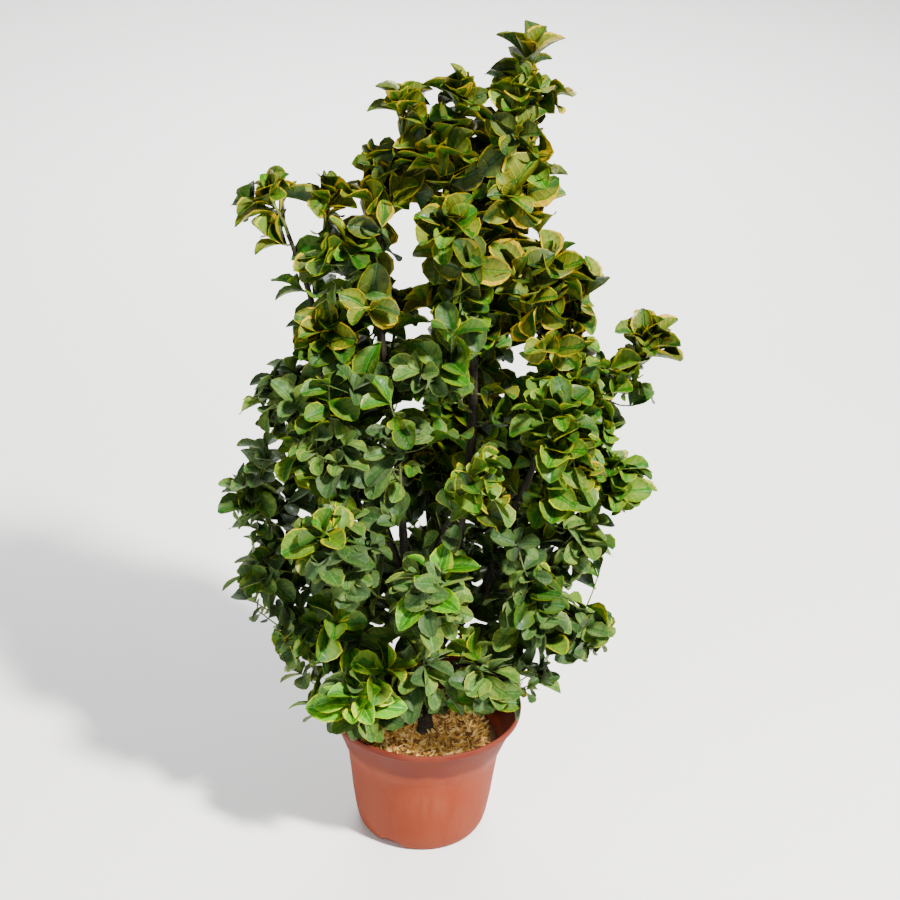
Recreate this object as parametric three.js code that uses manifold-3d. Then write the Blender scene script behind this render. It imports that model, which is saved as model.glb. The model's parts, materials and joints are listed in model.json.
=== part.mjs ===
// Golden euonymus shrub in a plastic nursery pot.
// Millimetres, +Z up. The origin is the centre of the pot's flat underside, and -Y is the front.
//
// One trunk stands in the mulch. Stems and boughs fork from it, and each carries masses of leaves.
// A mass is a short stem with side shoots, each ending in a whorl of leaf pairs. Every mass keeps to a
// cell of space around its own heart, so that neighbouring masses never meet.

import * as THREE from 'three';
import { mergeVertices } from 'three/addons/utils/BufferGeometryUtils.js';
import Module from 'manifold-3d';

const wasm = await Module();
wasm.setup();

// Driving dimensions

const GAP = 0.3;                    // clearance between pieces that meet

const POT = {
  height: 215, rimRadius: 150, lip: 205, wall: 4, floor: 16, floorRadius: 97, segments: 28,
  undersideRadius: 92,
  // Outer radius and height, from the foot up over the body and the flared collar to the lip
  levels: [
    [98, 5], [104, 24], [110.5, 68], [115, 106], [119, 137], [127, 158], [136.5, 183], [145.8, 203],
  ],
};
const NOTCH = { width: 36, height: 14, depth: 14, radius: 101, count: 3, firstTurn: -117 };

const MULCH = { top: 160, edge: 153, flatRadius: 24, segments: 28 };

const TRUNK = { rootRadius: 10, tipRadius: 3.4, flare: 4.5, flareHeight: 16 };

const LEAF = {
  length: 72, width: 0.86, widest: 0.56, arch: 0.07, droop: 0.12, thickness: 0.035,
  sizes: [1, 0.84, 0.68],   // a leaf with no room at one size is tried at the next
};
const ROSETTE = { pairs: 2, innerPitch: 24, outerPitch: 86, spacing: 9, sink: 0.3, scatter: 0.5 };
const TWIG = { stemRadius: 3.2, leadRadius: 2.2, radius: 1.6, sides: 3 };
const STEM = { steps: 4, pairs: [0.34, 0.47, 0.6, 0.72, 0.84], pitch: 66 };   // shares along the stem
// Clearances, the radius of the free well over the mulch, and how far leaf ends go past a mass's reach
const ROOM = { cell: 0.6, limb: 1.2, pot: 3, well: 115, beyond: 17 };

// Limbs: where each leaves its parent (a height), its radius at either end, and the points it passes

const LIMBS = [
  { name: 'trunk', radii: [TRUNK.rootRadius, TRUNK.tipRadius],
    path: [[3, 0, MULCH.top + GAP], [3, 0, 200], [20, 0, 325], [41, 0, 500], [55, 0, 666], [52, 0, 836],
      [65, 0, 969], [88, 0, 1085], [97, -2, 1146]] },
  { name: 'stem_left', from: 'trunk', fork: 205, radii: [8, 3],
    path: [[-14, -14, 270], [-30, -18, 394], [-47, -20, 597], [-72, -15, 786], [-86, -10, 930],
      [-74, -4, 1020], [-60, 0, 1092]] },
  { name: 'stem_far_left', from: 'stem_left', fork: 430, radii: [6, 3],
    path: [[-95, 5, 600], [-150, 0, 780], [-184, 0, 900], [-208, 0, 968]] },
  { name: 'stem_right', from: 'trunk', fork: 318, radii: [7.5, 3.5],
    path: [[81, 15, 398], [108, 25, 500], [148, 20, 620], [166, 5, 749], [158, -8, 862]] },
  { name: 'stem_back', from: 'trunk', fork: 250, radii: [7, 3.5],
    path: [[8, 62, 380], [-5, 105, 560], [20, 115, 720], [45, 92, 836]] },
  { name: 'stem_back_left', from: 'stem_left', fork: 330, radii: [6, 3.5],
    path: [[-78, 55, 430], [-122, 90, 560], [-112, 104, 660]] },
  { name: 'stem_back_right', from: 'stem_right', fork: 400, radii: [6, 3.5],
    path: [[112, 72, 480], [134, 105, 590], [130, 108, 668]] },
  { name: 'stem_front', from: 'trunk', fork: 290, radii: [6.5, 3.5],
    path: [[8, -52, 370], [-2, -92, 470], [14, -100, 560], [34, -102, 598]] },
  { name: 'bough_low_right', from: 'trunk', fork: 258, radii: [7, 4],
    path: [[94, -5, 315], [151, -15, 358], [186, -20, 366]] },
  { name: 'bough_right_flank', from: 'stem_right', fork: 440, radii: [5.5, 3.5],
    path: [[155, 18, 486], [212, 8, 540], [244, 6, 566]] },
  { name: 'bough_right_sprig', from: 'stem_right', fork: 640, radii: [4.5, 3],
    path: [[212, 8, 690], [250, 2, 738], [266, 0, 768]] },
  { name: 'bough_low_left', from: 'stem_left', fork: 285, radii: [5.5, 3.5],
    path: [[-85, -34, 318], [-128, -42, 338]] },
  { name: 'bough_left_low', from: 'stem_left', fork: 372, radii: [5.5, 3.5],
    path: [[-110, -8, 425], [-188, -9, 446]] },
  { name: 'bough_top', from: 'trunk', fork: 930, radii: [5, 3],
    path: [[32, -8, 1010], [14, -14, 1096]] },
];

// Masses of leaves: the limb that carries each, the height where it leaves (none means the limb's tip),
// the heart of its cell, its reach from the heart, and its number of shoots

const MASSES = [
  { name: 'top_leader', on: 'trunk', heart: [107, -8, 1202], reach: 62, shoots: 2 },
  { name: 'top_right', on: 'trunk', fork: 1032, heart: [109, -5, 1069], reach: 54, shoots: 2 },
  { name: 'top_middle', on: 'bough_top', heart: [21, -15, 1160], reach: 46, shoots: 2 },
  { name: 'top_left_spire', on: 'stem_left', heart: [-56, 2, 1148], reach: 42, shoots: 2 },
  { name: 'upper_inner', on: 'bough_top', fork: 1030, heart: [0, -22, 1078], reach: 58, shoots: 2 },
  { name: 'upper_left', on: 'stem_left', fork: 975, heart: [-90, 8, 1046], reach: 51, shoots: 2 },
  { name: 'upper_front', on: 'trunk', fork: 905, heart: [15, -50, 1001], reach: 55, shoots: 2 },
  { name: 'sprig_far_left', on: 'stem_far_left', heart: [-232, 0, 1018], reach: 43, shoots: 2 },
  { name: 'sprig_left', on: 'stem_far_left', fork: 890, heart: [-150, 2, 1024], reach: 38, shoots: 2 },
  { name: 'shoulder_left', on: 'stem_left', fork: 860, heart: [-128, -18, 939], reach: 64, shoots: 3 },
  { name: 'left_upper', on: 'stem_far_left', fork: 745, heart: [-145, -14, 826], reach: 64, shoots: 3 },
  { name: 'shoulder_right', on: 'stem_right', heart: [148, -20, 923], reach: 64, shoots: 3 },
  { name: 'right_upper', on: 'stem_right', fork: 775, heart: [175, 10, 841], reach: 59, shoots: 3 },
  { name: 'inner_spire', on: 'stem_left', fork: 770, heart: [-58, 38, 844], reach: 41, shoots: 2 },
  { name: 'inner_upper', on: 'trunk', fork: 815, heart: [43, -32, 892], reach: 64, shoots: 2 },
  { name: 'inner_middle', on: 'trunk', fork: 710, heart: [21, -54, 789], reach: 71, shoots: 2 },
  { name: 'right_middle', on: 'stem_right', fork: 665, heart: [184, -10, 740], reach: 75, shoots: 2 },
  { name: 'sprig_right', on: 'bough_right_sprig', heart: [292, 0, 820], reach: 53, shoots: 2 },
  { name: 'right_far', on: 'bough_right_flank', heart: [264, 5, 606], reach: 60, shoots: 3 },
  { name: 'right_inner', on: 'stem_right', fork: 555, heart: [174, -66, 653], reach: 74, shoots: 3 },
  { name: 'left_middle', on: 'stem_far_left', fork: 640, heart: [-198, 0, 733], reach: 65, shoots: 3 },
  { name: 'left_inner', on: 'stem_far_left', fork: 560, heart: [-144, -62, 672], reach: 80, shoots: 2 },
  { name: 'left_far', on: 'bough_left_low', fork: 436, heart: [-262, 0, 561], reach: 48, shoots: 3 },
  { name: 'centre_left', on: 'stem_left', fork: 590, heart: [-47, -52, 676], reach: 77, shoots: 3 },
  { name: 'centre_front', on: 'stem_front', heart: [60, -116, 648], reach: 79, shoots: 2 },
  { name: 'left_low', on: 'bough_left_low', heart: [-232, -10, 441], reach: 67, shoots: 3 },
  { name: 'left_front', on: 'stem_left', fork: 402, heart: [-133, -104, 542], reach: 81, shoots: 3 },
  { name: 'front_low', on: 'stem_front', fork: 420, heart: [4, -152, 501], reach: 78, shoots: 3 },
  { name: 'foot_left', on: 'bough_low_left', heart: [-179, -52, 356], reach: 69, shoots: 3 },
  { name: 'foot_lime', on: 'trunk', fork: 190, heart: [-95, -126, 302], reach: 64, shoots: 2 },
  { name: 'foot_centre', on: 'trunk', fork: 236, heart: [-3, -98, 331], reach: 59, shoots: 2 },
  { name: 'foot_right', on: 'trunk', fork: 215, heart: [91, -84, 309], reach: 64, shoots: 2 },
  { name: 'right_low', on: 'bough_low_right', heart: [230, -22, 363], reach: 63, shoots: 3 },
  { name: 'right_lower', on: 'bough_low_right', fork: 330, heart: [148, -66, 435], reach: 78, shoots: 3 },
  { name: 'right_flank', on: 'bough_right_flank', fork: 500, heart: [207, -6, 500], reach: 68, shoots: 3 },
  { name: 'back_foot', on: 'stem_back', fork: 320, heart: [22, 148, 376], reach: 82, shoots: 2 },
  { name: 'back_foot_left', on: 'stem_back_left', fork: 370, heart: [-118, 104, 366], reach: 80, shoots: 2 },
  { name: 'back_foot_right', on: 'stem_back_right', fork: 430, heart: [146, 92, 372], reach: 78, shoots: 2 },
  { name: 'back_left', on: 'stem_back_left', fork: 500, heart: [-158, 110, 560], reach: 82, shoots: 2 },
  { name: 'back_middle', on: 'stem_back', fork: 490, heart: [2, 172, 560], reach: 84, shoots: 2 },
  { name: 'back_right', on: 'stem_back_right', fork: 530, heart: [164, 132, 562], reach: 80, shoots: 2 },
  { name: 'back_left_upper', on: 'stem_back_left', heart: [-100, 112, 736], reach: 78, shoots: 2 },
  { name: 'back_upper', on: 'stem_back', fork: 670, heart: [36, 150, 744], reach: 78, shoots: 2 },
  { name: 'back_shoulder', on: 'stem_back', heart: [62, 78, 900], reach: 68, shoots: 2 },
];

const SHOOT = {
  firstSeed: 4100,      // each mass has its own seeds from here
  lead: 0.85,           // how high the leading shoot stands over the heart, as a share of the room
  scatter: 0.4,         // how far side shoots stray from an even turn, in radians
  sizes: [1, 0.82, 0.64],   // a shoot with no room at one length is tried at the next
  lowest: -38,          // elevation of the lowest side shoot from the heart, in degrees
  highest: 50,
  outward: 0.2,         // how far shoots lean away from the crown's middle
  lift: 0.55,           // how far a shoot's tip turns upward
  sag: 0.16,            // how far a mass's stem bows below the straight line to its heart
  leafRoom: 38,         // how far short of the reach a shoot's twig ends
  shortest: 14,         // and the shortest a shoot is held to
  axisX: 40,            // the crown's middle line
};

const COLOURS = {
  pot: 0xb5573a, mulch: 0xa9864d, bark: 0x4d4236,
  upper: 0x56651f, middle: 0x3f6a2a, lower: 0x5a7150, lime: 0x7fae1c,
};

const UP = new THREE.Vector3(0, 0, 1);
const GOLDEN_ANGLE = Math.PI * (3 - Math.sqrt(5));
const RAD = Math.PI / 180;

// Seeded random numbers from 0 to 1
function seeded(seed) {
  let state = seed >>> 0;
  return () => {
    state = (state + 0x6d2b79f5) >>> 0;
    let mixed = Math.imul(state ^ (state >>> 15), state | 1);
    mixed ^= mixed + Math.imul(mixed ^ (mixed >>> 7), mixed | 61);
    return ((mixed ^ (mixed >>> 14)) >>> 0) / 4294967296;
  };
}

// Solids

function toSolid(geometry) {
  const plain = geometry.clone();
  plain.deleteAttribute('normal');
  plain.deleteAttribute('uv');
  const merged = mergeVertices(plain, 1e-4);
  return new wasm.Manifold(new wasm.Mesh({
    numProp: 3,
    vertProperties: new Float32Array(merged.attributes.position.array),
    triVerts: new Uint32Array(merged.index.array),
  }));
}

function toGeometry(solid) {
  const mesh = solid.getMesh();
  const geometry = new THREE.BufferGeometry();
  geometry.setAttribute('position', new THREE.BufferAttribute(mesh.vertProperties, 3));
  geometry.setIndex(new THREE.BufferAttribute(mesh.triVerts, 1));
  geometry.computeVertexNormals();
  return geometry;
}

// The largest separate body of a solid, so that sealed hollows are filled and scraps dropped
function largestBody(solid) {
  const bodies = solid.decompose();
  return bodies.reduce((best, body) => (body.volume() > best.volume() ? body : best));
}

// The world axis that a curve runs along least
function axisBeside(curve) {
  const way = curve.getPoint(1).sub(curve.getPoint(0));
  const axes = [new THREE.Vector3(1, 0, 0), new THREE.Vector3(0, 1, 0), new THREE.Vector3(0, 0, 1)];
  return axes.reduce((best, axis) => (Math.abs(axis.dot(way)) < Math.abs(best.dot(way)) ? axis : best));
}

// A round body that tapers along a curve, with flat ends square to it
function taperedTube(curve, radiusAt, sides, steps) {
  const tube = new THREE.CylinderGeometry(1, 1, 1, sides, steps);
  const beside = axisBeside(curve);
  const frames = Array.from({ length: steps + 1 }, (_, i) => {
    const t = i / steps;
    const ahead = curve.getTangent(t);
    const side = beside.clone().cross(ahead).normalize();
    return { centre: curve.getPoint(t), radius: radiusAt(t), side, over: ahead.clone().cross(side) };
  });
  const position = tube.attributes.position;
  const place = new THREE.Vector3();
  for (let i = 0; i < position.count; i += 1) {
    const frame = frames[Math.round((position.getY(i) + 0.5) * steps)];
    place.copy(frame.centre)
      .addScaledVector(frame.side, position.getZ(i) * frame.radius)
      .addScaledVector(frame.over, position.getX(i) * frame.radius);
    position.setXYZ(i, place.x, place.y, place.z);
  }
  return toSolid(tube);
}

function revolved(profile, segments) {
  const lathe = new THREE.LatheGeometry(profile.map(([r, z]) => new THREE.Vector2(r, z)), segments);
  lathe.rotateX(Math.PI / 2);
  return toSolid(lathe);
}

// Pot and mulch

// The outer wall from the underside up: foot, body, flared collar and lip
function potOutline() {
  return [[POT.undersideRadius, 0], ...POT.levels, [POT.rimRadius, POT.lip], [POT.rimRadius, POT.height]];
}

// The inner wall runs a wall's thickness inside the outer one, down to the floor
function potHollow() {
  const inside = potOutline().slice(2).map(([r, z]) => [r - POT.wall, z]);
  return [...inside.reverse(), [POT.floorRadius, POT.floor]];
}

function potSolid() {
  const profile = [[0, 0], ...potOutline(), ...potHollow(), [0, POT.floor]];
  let pot = revolved(profile, POT.segments);
  for (let i = 0; i < NOTCH.count; i += 1) {
    const cutter = new THREE.BoxGeometry(NOTCH.depth * 2, NOTCH.width, NOTCH.height * 2);
    cutter.translate(NOTCH.radius, 0, 0);
    cutter.rotateZ((NOTCH.firstTurn + (i * 360) / NOTCH.count) * RAD);
    pot = pot.subtract(toSolid(cutter));
  }
  return pot;
}

// The mulch fills the pot to its surface, which is flat under the trunk and falls a little to the wall
function mulchSolid() {
  const hollow = potHollow().reverse();
  const side = hollow.filter(([, z]) => z > POT.floor && z < MULCH.edge);
  const [belowRadius, belowHeight] = side[side.length - 1];
  const [aboveRadius, aboveHeight] = hollow.find(([, z]) => z >= MULCH.edge);
  const share = (MULCH.edge - belowHeight) / (aboveHeight - belowHeight);
  const edgeRadius = belowRadius + (aboveRadius - belowRadius) * share;
  const profile = [
    [0, POT.floor + GAP], [hollow[0][0] - GAP, POT.floor + GAP],
    ...side.map(([r, z]) => [r - GAP, z]),
    [edgeRadius - GAP, MULCH.edge], [MULCH.flatRadius, MULCH.top], [0, MULCH.top],
  ];
  return revolved(profile, MULCH.segments);
}

// Limbs

function heightOnCurve(curve, height) {
  let low = 0;
  let high = 1;
  for (let i = 0; i < 40; i += 1) {
    const middle = (low + high) / 2;
    if (curve.getPoint(middle).z < height) low = middle;
    else high = middle;
  }
  return (low + high) / 2;
}

function makeLimb(spec, limbs) {
  const points = spec.path.map((p) => new THREE.Vector3(...p));
  const parent = limbs.get(spec.from);
  if (parent) points.unshift(parent.curve.getPoint(heightOnCurve(parent.curve, spec.fork)));
  const curve = new THREE.CatmullRomCurve3(points, false, 'catmullrom', 0.5);
  const [root, tip] = spec.radii;
  const flare = parent ? 0 : TRUNK.flare;
  const ground = points[0].z;
  const radiusAt = (t) => root + (tip - root) * t
    + flare * Math.exp(-(curve.getPoint(t).z - ground) / TRUNK.flareHeight);
  const sides = parent ? 6 : 8;
  const steps = (points.length - 1) * (parent ? 2 : 3);
  const whole = taperedTube(curve, radiusAt, sides, steps);
  const clearing = taperedTube(curve, (t) => radiusAt(t) + GAP / Math.cos(Math.PI / sides), sides, steps);
  const solid = parent ? largestBody(whole.subtract(parent.clearing)) : whole;
  return { name: spec.name, curve, radiusAt, solid, clearing };
}

// Stems of the masses

// How far from its heart a mass's shoots end
function shootRoom(mass) {
  return Math.max(mass.reach - SHOOT.leafRoom, SHOOT.shortest);
}

// A mass's stem runs from its limb to its heart and up to the tip of its leading shoot. From a tip it
// goes on the limb's way, and from a limb's side it bows and turns up.
function makeStem(mass, limbs) {
  const limb = limbs.get(mass.on);
  const heart = new THREE.Vector3(...mass.heart);
  const atTip = mass.fork === undefined;
  const t = atTip ? 1 : heightOnCurve(limb.curve, mass.fork);
  const start = limb.curve.getPoint(t);
  const ahead = limb.curve.getTangent(t);
  const length = start.distanceTo(heart);
  const bend = start.clone().lerp(heart, 0.5).addScaledVector(UP, -length * SHOOT.sag);
  if (atTip) {
    start.addScaledVector(ahead, GAP);
    bend.copy(start).addScaledVector(ahead, length * 0.4);
  }
  const lead = heart.clone().addScaledVector(UP, shootRoom(mass) * SHOOT.lead);
  const curve = new THREE.CatmullRomCurve3([start, bend, heart, lead], false, 'catmullrom', 0.5);
  const radiusAt = (at) => TWIG.stemRadius + (TWIG.leadRadius - TWIG.stemRadius) * at;
  return { limb, heart, atTip, curve, radiusAt, turn: mass.seed };
}

// Points along a round body, with its radius, for clearance tests
function beads(curve, radiusAt, spacing = 5) {
  const count = Math.ceil(curve.getLength() / spacing);
  return Array.from({ length: count + 1 }, (_, i) => ({
    at: curve.getPoint(i / count), radius: radiusAt(i / count),
  }));
}

// The planes between a mass's heart and all the others shut in its own cell of space
function makeCell(mass, masses) {
  const heart = new THREE.Vector3(...mass.heart);
  const walls = masses.filter((other) => other !== mass).map((other) => {
    const way = new THREE.Vector3(...other.heart).sub(heart);
    const limit = (way.length() * mass.reach) / (mass.reach + other.reach) - ROOM.cell;
    return { way: way.normalize(), limit };
  });
  return (point, radius) => point.distanceTo(heart) + radius < mass.reach + ROOM.beyond
    && walls.every(({ way, limit }) => point.clone().sub(heart).dot(way) + radius < limit);
}

// Above the rim everything is free, and below it only the well over the mulch is
function clearOfPot(point, radius) {
  if (point.z - radius > POT.height + ROOM.pot) return true;
  const well = ROOM.well - ROOM.pot;
  return Math.hypot(point.x, point.y) + radius < well && point.z - radius > MULCH.top + ROOM.pot;
}

// Leaves

// The points of a leaf that springs from a root along a direction: it arches over its middle, and its
// tip droops
function leafPoints(root, way, face, length) {
  const side = face.clone().cross(way).normalize();
  const spot = (along, across, lift) => root.clone()
    .addScaledVector(way, along * length)
    .addScaledVector(side, across * length)
    .addScaledVector(face, lift * length);
  return {
    base: spot(0, 0, 0),
    tip: spot(1, 0, -LEAF.droop),
    left: spot(LEAF.widest, LEAF.width / 2, LEAF.arch),
    right: spot(LEAF.widest, -LEAF.width / 2, LEAF.arch),
    crest: spot(LEAF.widest - 0.06, 0, LEAF.arch + LEAF.thickness),
  };
}

// Four faces above, round the crest, and two below
function leafSolid({ base, tip, left, right, crest }) {
  const leaf = new THREE.BufferGeometry().setFromPoints([base, right, tip, left, crest]);
  leaf.setIndex([0, 1, 4, 1, 2, 4, 2, 3, 4, 3, 0, 4, 0, 3, 1, 1, 3, 2]);
  return toSolid(leaf);
}

function leafIsClear(points, { cell, obstacles }) {
  const corners = [points.base, points.tip, points.left, points.right];
  if (!corners.every((corner) => cell(corner, 0) && clearOfPot(corner, 0))) return false;
  const centre = points.crest;
  const halves = [
    new THREE.Triangle(points.base, points.left, points.tip),
    new THREE.Triangle(points.base, points.tip, points.right),
  ];
  const nearest = new THREE.Vector3();
  return obstacles.every(({ at, radius }) => {
    if (at.distanceTo(centre) > LEAF.length + radius) return true;
    return halves.every((half) => {
      half.closestPointToPoint(at, nearest);
      return nearest.distanceTo(at) > radius + ROOM.limb + LEAF.thickness * LEAF.length / 2;
    });
  });
}

// Two leaves opposite one another on a twig, spreading at a pitch from its axis. A leaf that would cut
// a limb, another cell or a piece already grown is tried smaller, and else left out.
function growPair({ at, axis, turn, pitch, size, spread }, random, room) {
  const across = new THREE.Vector3(1, 0, 0).cross(axis).normalize();
  return [0, 1].map((half) => {
    const round = turn + half * Math.PI + (random() - 0.5) * ROSETTE.scatter;
    const out = across.clone().applyAxisAngle(axis, round);
    const way = axis.clone().multiplyScalar(Math.cos(pitch)).addScaledVector(out, Math.sin(pitch));
    const face = axis.clone().multiplyScalar(Math.sin(pitch)).addScaledVector(out, -Math.cos(pitch));
    const root = at.clone().addScaledVector(spread, half).addScaledVector(way, -ROSETTE.sink);
    const length = LEAF.length * size * (1 + 0.12 * random());
    return LEAF.sizes.map((share) => leafPoints(root, way, face, length * share))
      .filter((points) => leafIsClear(points, room))
      .map((points) => leafSolid(points))
      .find((solid) => room.grown.every((other) => other.intersect(solid).isEmpty()));
  }).filter((leaf) => leaf !== undefined);
}

// A whorl of leaf pairs round a shoot's tip: each pair is turned a quarter from the last and spreads
// wider. Their roots lie along the twig behind its tip, one after the other.
function growRosette(tip, back, random, room) {
  const axis = back.clone().negate().addScaledVector(UP, SHOOT.lift).normalize();
  const turn = random() * Math.PI;
  return Array.from({ length: ROSETTE.pairs }).flatMap((_, pair) => {
    const share = (pair + 0.5) / ROSETTE.pairs;
    return growPair({
      at: tip.clone().addScaledVector(back, ROSETTE.spacing * (pair + 0.3)),
      spread: back.clone().multiplyScalar(ROSETTE.spacing * 0.4),
      axis,
      turn: turn + (pair * Math.PI) / 2,
      pitch: (ROSETTE.innerPitch + (ROSETTE.outerPitch - ROSETTE.innerPitch) * share) * RAD,
      size: 0.88 + 0.2 * share,
    }, random, room);
  });
}

// Leaf pairs down a mass's stem, below its top whorl, each turned a quarter from the last
function growStemPairs(stem, random, room) {
  const spine = stem.curve.getPoints(STEM.steps);
  return STEM.pairs.flatMap((place, i) => {
    const step = Math.floor(place * STEM.steps);
    const axis = spine[step + 1].clone().sub(spine[step]).normalize();
    const at = spine[step].clone().lerp(spine[step + 1], place * STEM.steps - step);
    return growPair({
      at,
      spread: axis.clone().multiplyScalar(-ROSETTE.spacing * 0.4),
      axis,
      turn: stem.turn + (i * Math.PI) / 2,
      pitch: STEM.pitch * RAD,
      size: 1,
    }, random, room);
  });
}

// Shoots

// Side shoots are dealt round the heart by the golden angle, from the highest to the lowest, and lean
// out of the crown
function shootTip(mass, heart, index, random) {
  const share = mass.shoots > 2 ? (index - 1) / (mass.shoots - 2) : 0.3;
  const rise = (SHOOT.highest + (SHOOT.lowest - SHOOT.highest) * share) * RAD;
  const round = mass.seed + index * GOLDEN_ANGLE + (random() - 0.5) * SHOOT.scatter;
  const way = new THREE.Vector3(
    Math.cos(round) * Math.cos(rise), Math.sin(round) * Math.cos(rise), Math.sin(rise),
  );
  const outward = new THREE.Vector3(heart.x - SHOOT.axisX, heart.y, 0).normalize();
  way.addScaledVector(outward, SHOOT.outward).normalize();
  return heart.clone().addScaledVector(way, shootRoom(mass) * (0.9 + 0.2 * random()));
}

function twigIsClear(points, { cell, obstacles }) {
  return points.every((point) => cell(point, TWIG.radius) && clearOfPot(point, TWIG.radius)
    && obstacles.every(({ at, radius }) => at.distanceTo(point) > radius + TWIG.radius + ROOM.limb));
}

// A side shoot is a straight twig from the stem with a whorl of leaves at its tip
function growSideShoot(mass, stem, index, room) {
  const random = seeded(mass.seed + index);
  const start = stem.curve.getPoint(0.4 + 0.24 * random());
  const fullTip = shootTip(mass, stem.heart, index, random);
  const tip = SHOOT.sizes.map((size) => stem.heart.clone().lerp(fullTip, size))
    .find((spot) => twigIsClear(new THREE.LineCurve3(start, spot).getPoints(5).slice(2), room));
  if (!tip) return [];
  const twig = new THREE.LineCurve3(start, tip);
  const back = twig.getTangent(1).negate();
  return [
    taperedTube(twig, () => TWIG.radius, TWIG.sides, 1),
    ...growRosette(tip, back, random, room),
  ];
}

// A mass: its stem with a whorl of leaves at the tip and leaf pairs below it, and its side shoots.
// Leaves that would cut another piece of the mass are left out, apart from those of their own shoot.
function growMass(mass, stems, limbBeads, masses) {
  const stem = stems.get(mass.name);
  const cell = makeCell(mass, masses);
  const others = [...stems].filter(([name]) => name !== mass.name).flatMap(([, other]) => other.beads);
  const near = (bead) => bead.at.distanceTo(stem.heart) < mass.reach * 2 + LEAF.length;
  const obstacles = [...limbBeads, ...others].filter(near);
  const lead = stem.curve.getPoint(1);
  const back = stem.curve.getPoint(0.9).sub(lead).normalize();
  const random = seeded(mass.seed);
  const pieces = [
    taperedTube(stem.curve, stem.radiusAt, TWIG.sides, STEM.steps),
    ...growRosette(lead, back, random, { cell, obstacles, grown: [] }),
  ];
  pieces.push(...growStemPairs(stem, random, { cell, obstacles, grown: pieces.slice(1) }));
  for (let index = 1; index < mass.shoots; index += 1) {
    pieces.push(...growSideShoot(mass, stem, index, { cell, obstacles, grown: [...pieces] }));
  }
  const joined = wasm.Manifold.union(pieces);
  return largestBody(stem.atTip ? joined : joined.subtract(stem.limb.clearing));
}

// Assembly

function material(colour, roughness) {
  return new THREE.MeshStandardMaterial({ color: colour, roughness, metalness: 0 });
}

function piece(name, solid, colour, roughness) {
  const mesh = new THREE.Mesh(toGeometry(solid), material(colour, roughness));
  mesh.name = name;
  return mesh;
}

function leafColour(mass) {
  const height = mass.heart[2];
  if (mass.name.endsWith('lime')) return COLOURS.lime;
  if (height > 800) return COLOURS.upper;
  return height > 480 ? COLOURS.middle : COLOURS.lower;
}

const limbs = new Map();
LIMBS.forEach((spec) => limbs.set(spec.name, makeLimb(spec, limbs)));

const seededMasses = MASSES.map((mass, i) => (
  { ...mass, name: `leaves_${mass.name}`, seed: SHOOT.firstSeed + i * 20 }
));
const stems = new Map(seededMasses.map((mass) => {
  const stem = makeStem(mass, limbs);
  stem.beads = beads(stem.curve, stem.radiusAt);
  return [mass.name, stem];
}));
const limbBeads = [...limbs.values()].flatMap((limb) => beads(limb.curve, limb.radiusAt));

const shrub = new THREE.Group();
shrub.add(piece('pot', potSolid(), COLOURS.pot, 0.55));
shrub.add(piece('mulch', mulchSolid(), COLOURS.mulch, 0.95));
limbs.forEach((limb) => shrub.add(piece(limb.name, limb.solid, COLOURS.bark, 0.85)));
seededMasses.forEach((mass) => {
  const solid = growMass(mass, stems, limbBeads, seededMasses);
  shrub.add(piece(mass.name, solid, leafColour(mass), 0.5));
});

export default shrub;
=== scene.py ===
"""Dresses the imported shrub: pot, mulch, bark, twigs and leaves, on a plain stage.

Sizes of the plant are in millimetres, as in the part, and each mesh is scaled to metres as it is made.
"""

import json
import math
from collections import namedtuple

import bmesh
import bpy
import numpy as np
from mathutils import Matrix, Vector, noise

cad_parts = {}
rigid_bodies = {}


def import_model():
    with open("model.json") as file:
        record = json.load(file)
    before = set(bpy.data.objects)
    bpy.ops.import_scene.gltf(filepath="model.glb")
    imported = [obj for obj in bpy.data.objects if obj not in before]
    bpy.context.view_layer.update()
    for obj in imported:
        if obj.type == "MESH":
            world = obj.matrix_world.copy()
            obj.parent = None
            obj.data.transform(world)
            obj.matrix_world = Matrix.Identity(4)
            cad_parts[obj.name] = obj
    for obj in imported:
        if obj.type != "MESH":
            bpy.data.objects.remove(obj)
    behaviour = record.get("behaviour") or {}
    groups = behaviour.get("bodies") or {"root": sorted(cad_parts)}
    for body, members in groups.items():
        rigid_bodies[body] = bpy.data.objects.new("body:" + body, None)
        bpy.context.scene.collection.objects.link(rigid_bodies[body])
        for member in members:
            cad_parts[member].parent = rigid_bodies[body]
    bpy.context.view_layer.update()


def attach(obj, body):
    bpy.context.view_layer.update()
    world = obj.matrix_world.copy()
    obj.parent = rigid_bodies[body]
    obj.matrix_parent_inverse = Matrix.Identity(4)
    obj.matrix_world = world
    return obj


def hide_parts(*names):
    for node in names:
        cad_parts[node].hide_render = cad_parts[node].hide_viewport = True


bl_info = {
    "name": "Golden euonymus in a pot",
    "version": (1, 0, 0),
    "blender": (4, 5, 0),
    "location": "3D View > Sidebar > Shrub",
    "description": "Builds the looks of a potted golden euonymus round its packed solids",
    "category": "Object",
}

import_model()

MM = 0.001
UP = Vector((0, 0, 1))
GOLDEN_ANGLE = math.pi * (3 - math.sqrt(5))

# The part's own sizes, in millimetres

POT = {"height": 215, "rim": 150, "wall": 3.4, "floor": 16, "collar_foot": 160}
POT_OUTLINE = [
    (91, 0), (94.5, 1), (97.5, 4.5), (101, 12), (104, 24), (107, 42), (110, 64), (113, 92), (116, 116),
    (118.5, 136), (120.5, 141), (124, 150), (127.3, 159), (131.5, 170), (136.5, 183), (141.5, 194),
    (145.8, 203),
]
POT_LIP = [
    (148.3, 203.6), (149.6, 205.2), (150, 208), (150, 212.5), (149.2, 214.4), (147.6, 215), (146.2, 214.4),
]
NOTCH = {"width": 40, "height": 15, "depth": 14, "radius": 101, "count": 3, "first_turn": -117}
MULCH = {"top": 160, "radius": 119.5, "foot": (113, 136), "well": 117}
TRUNK = {"root": 10, "tip": 3.4, "flare": 4.5, "flare_height": 16}

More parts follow.
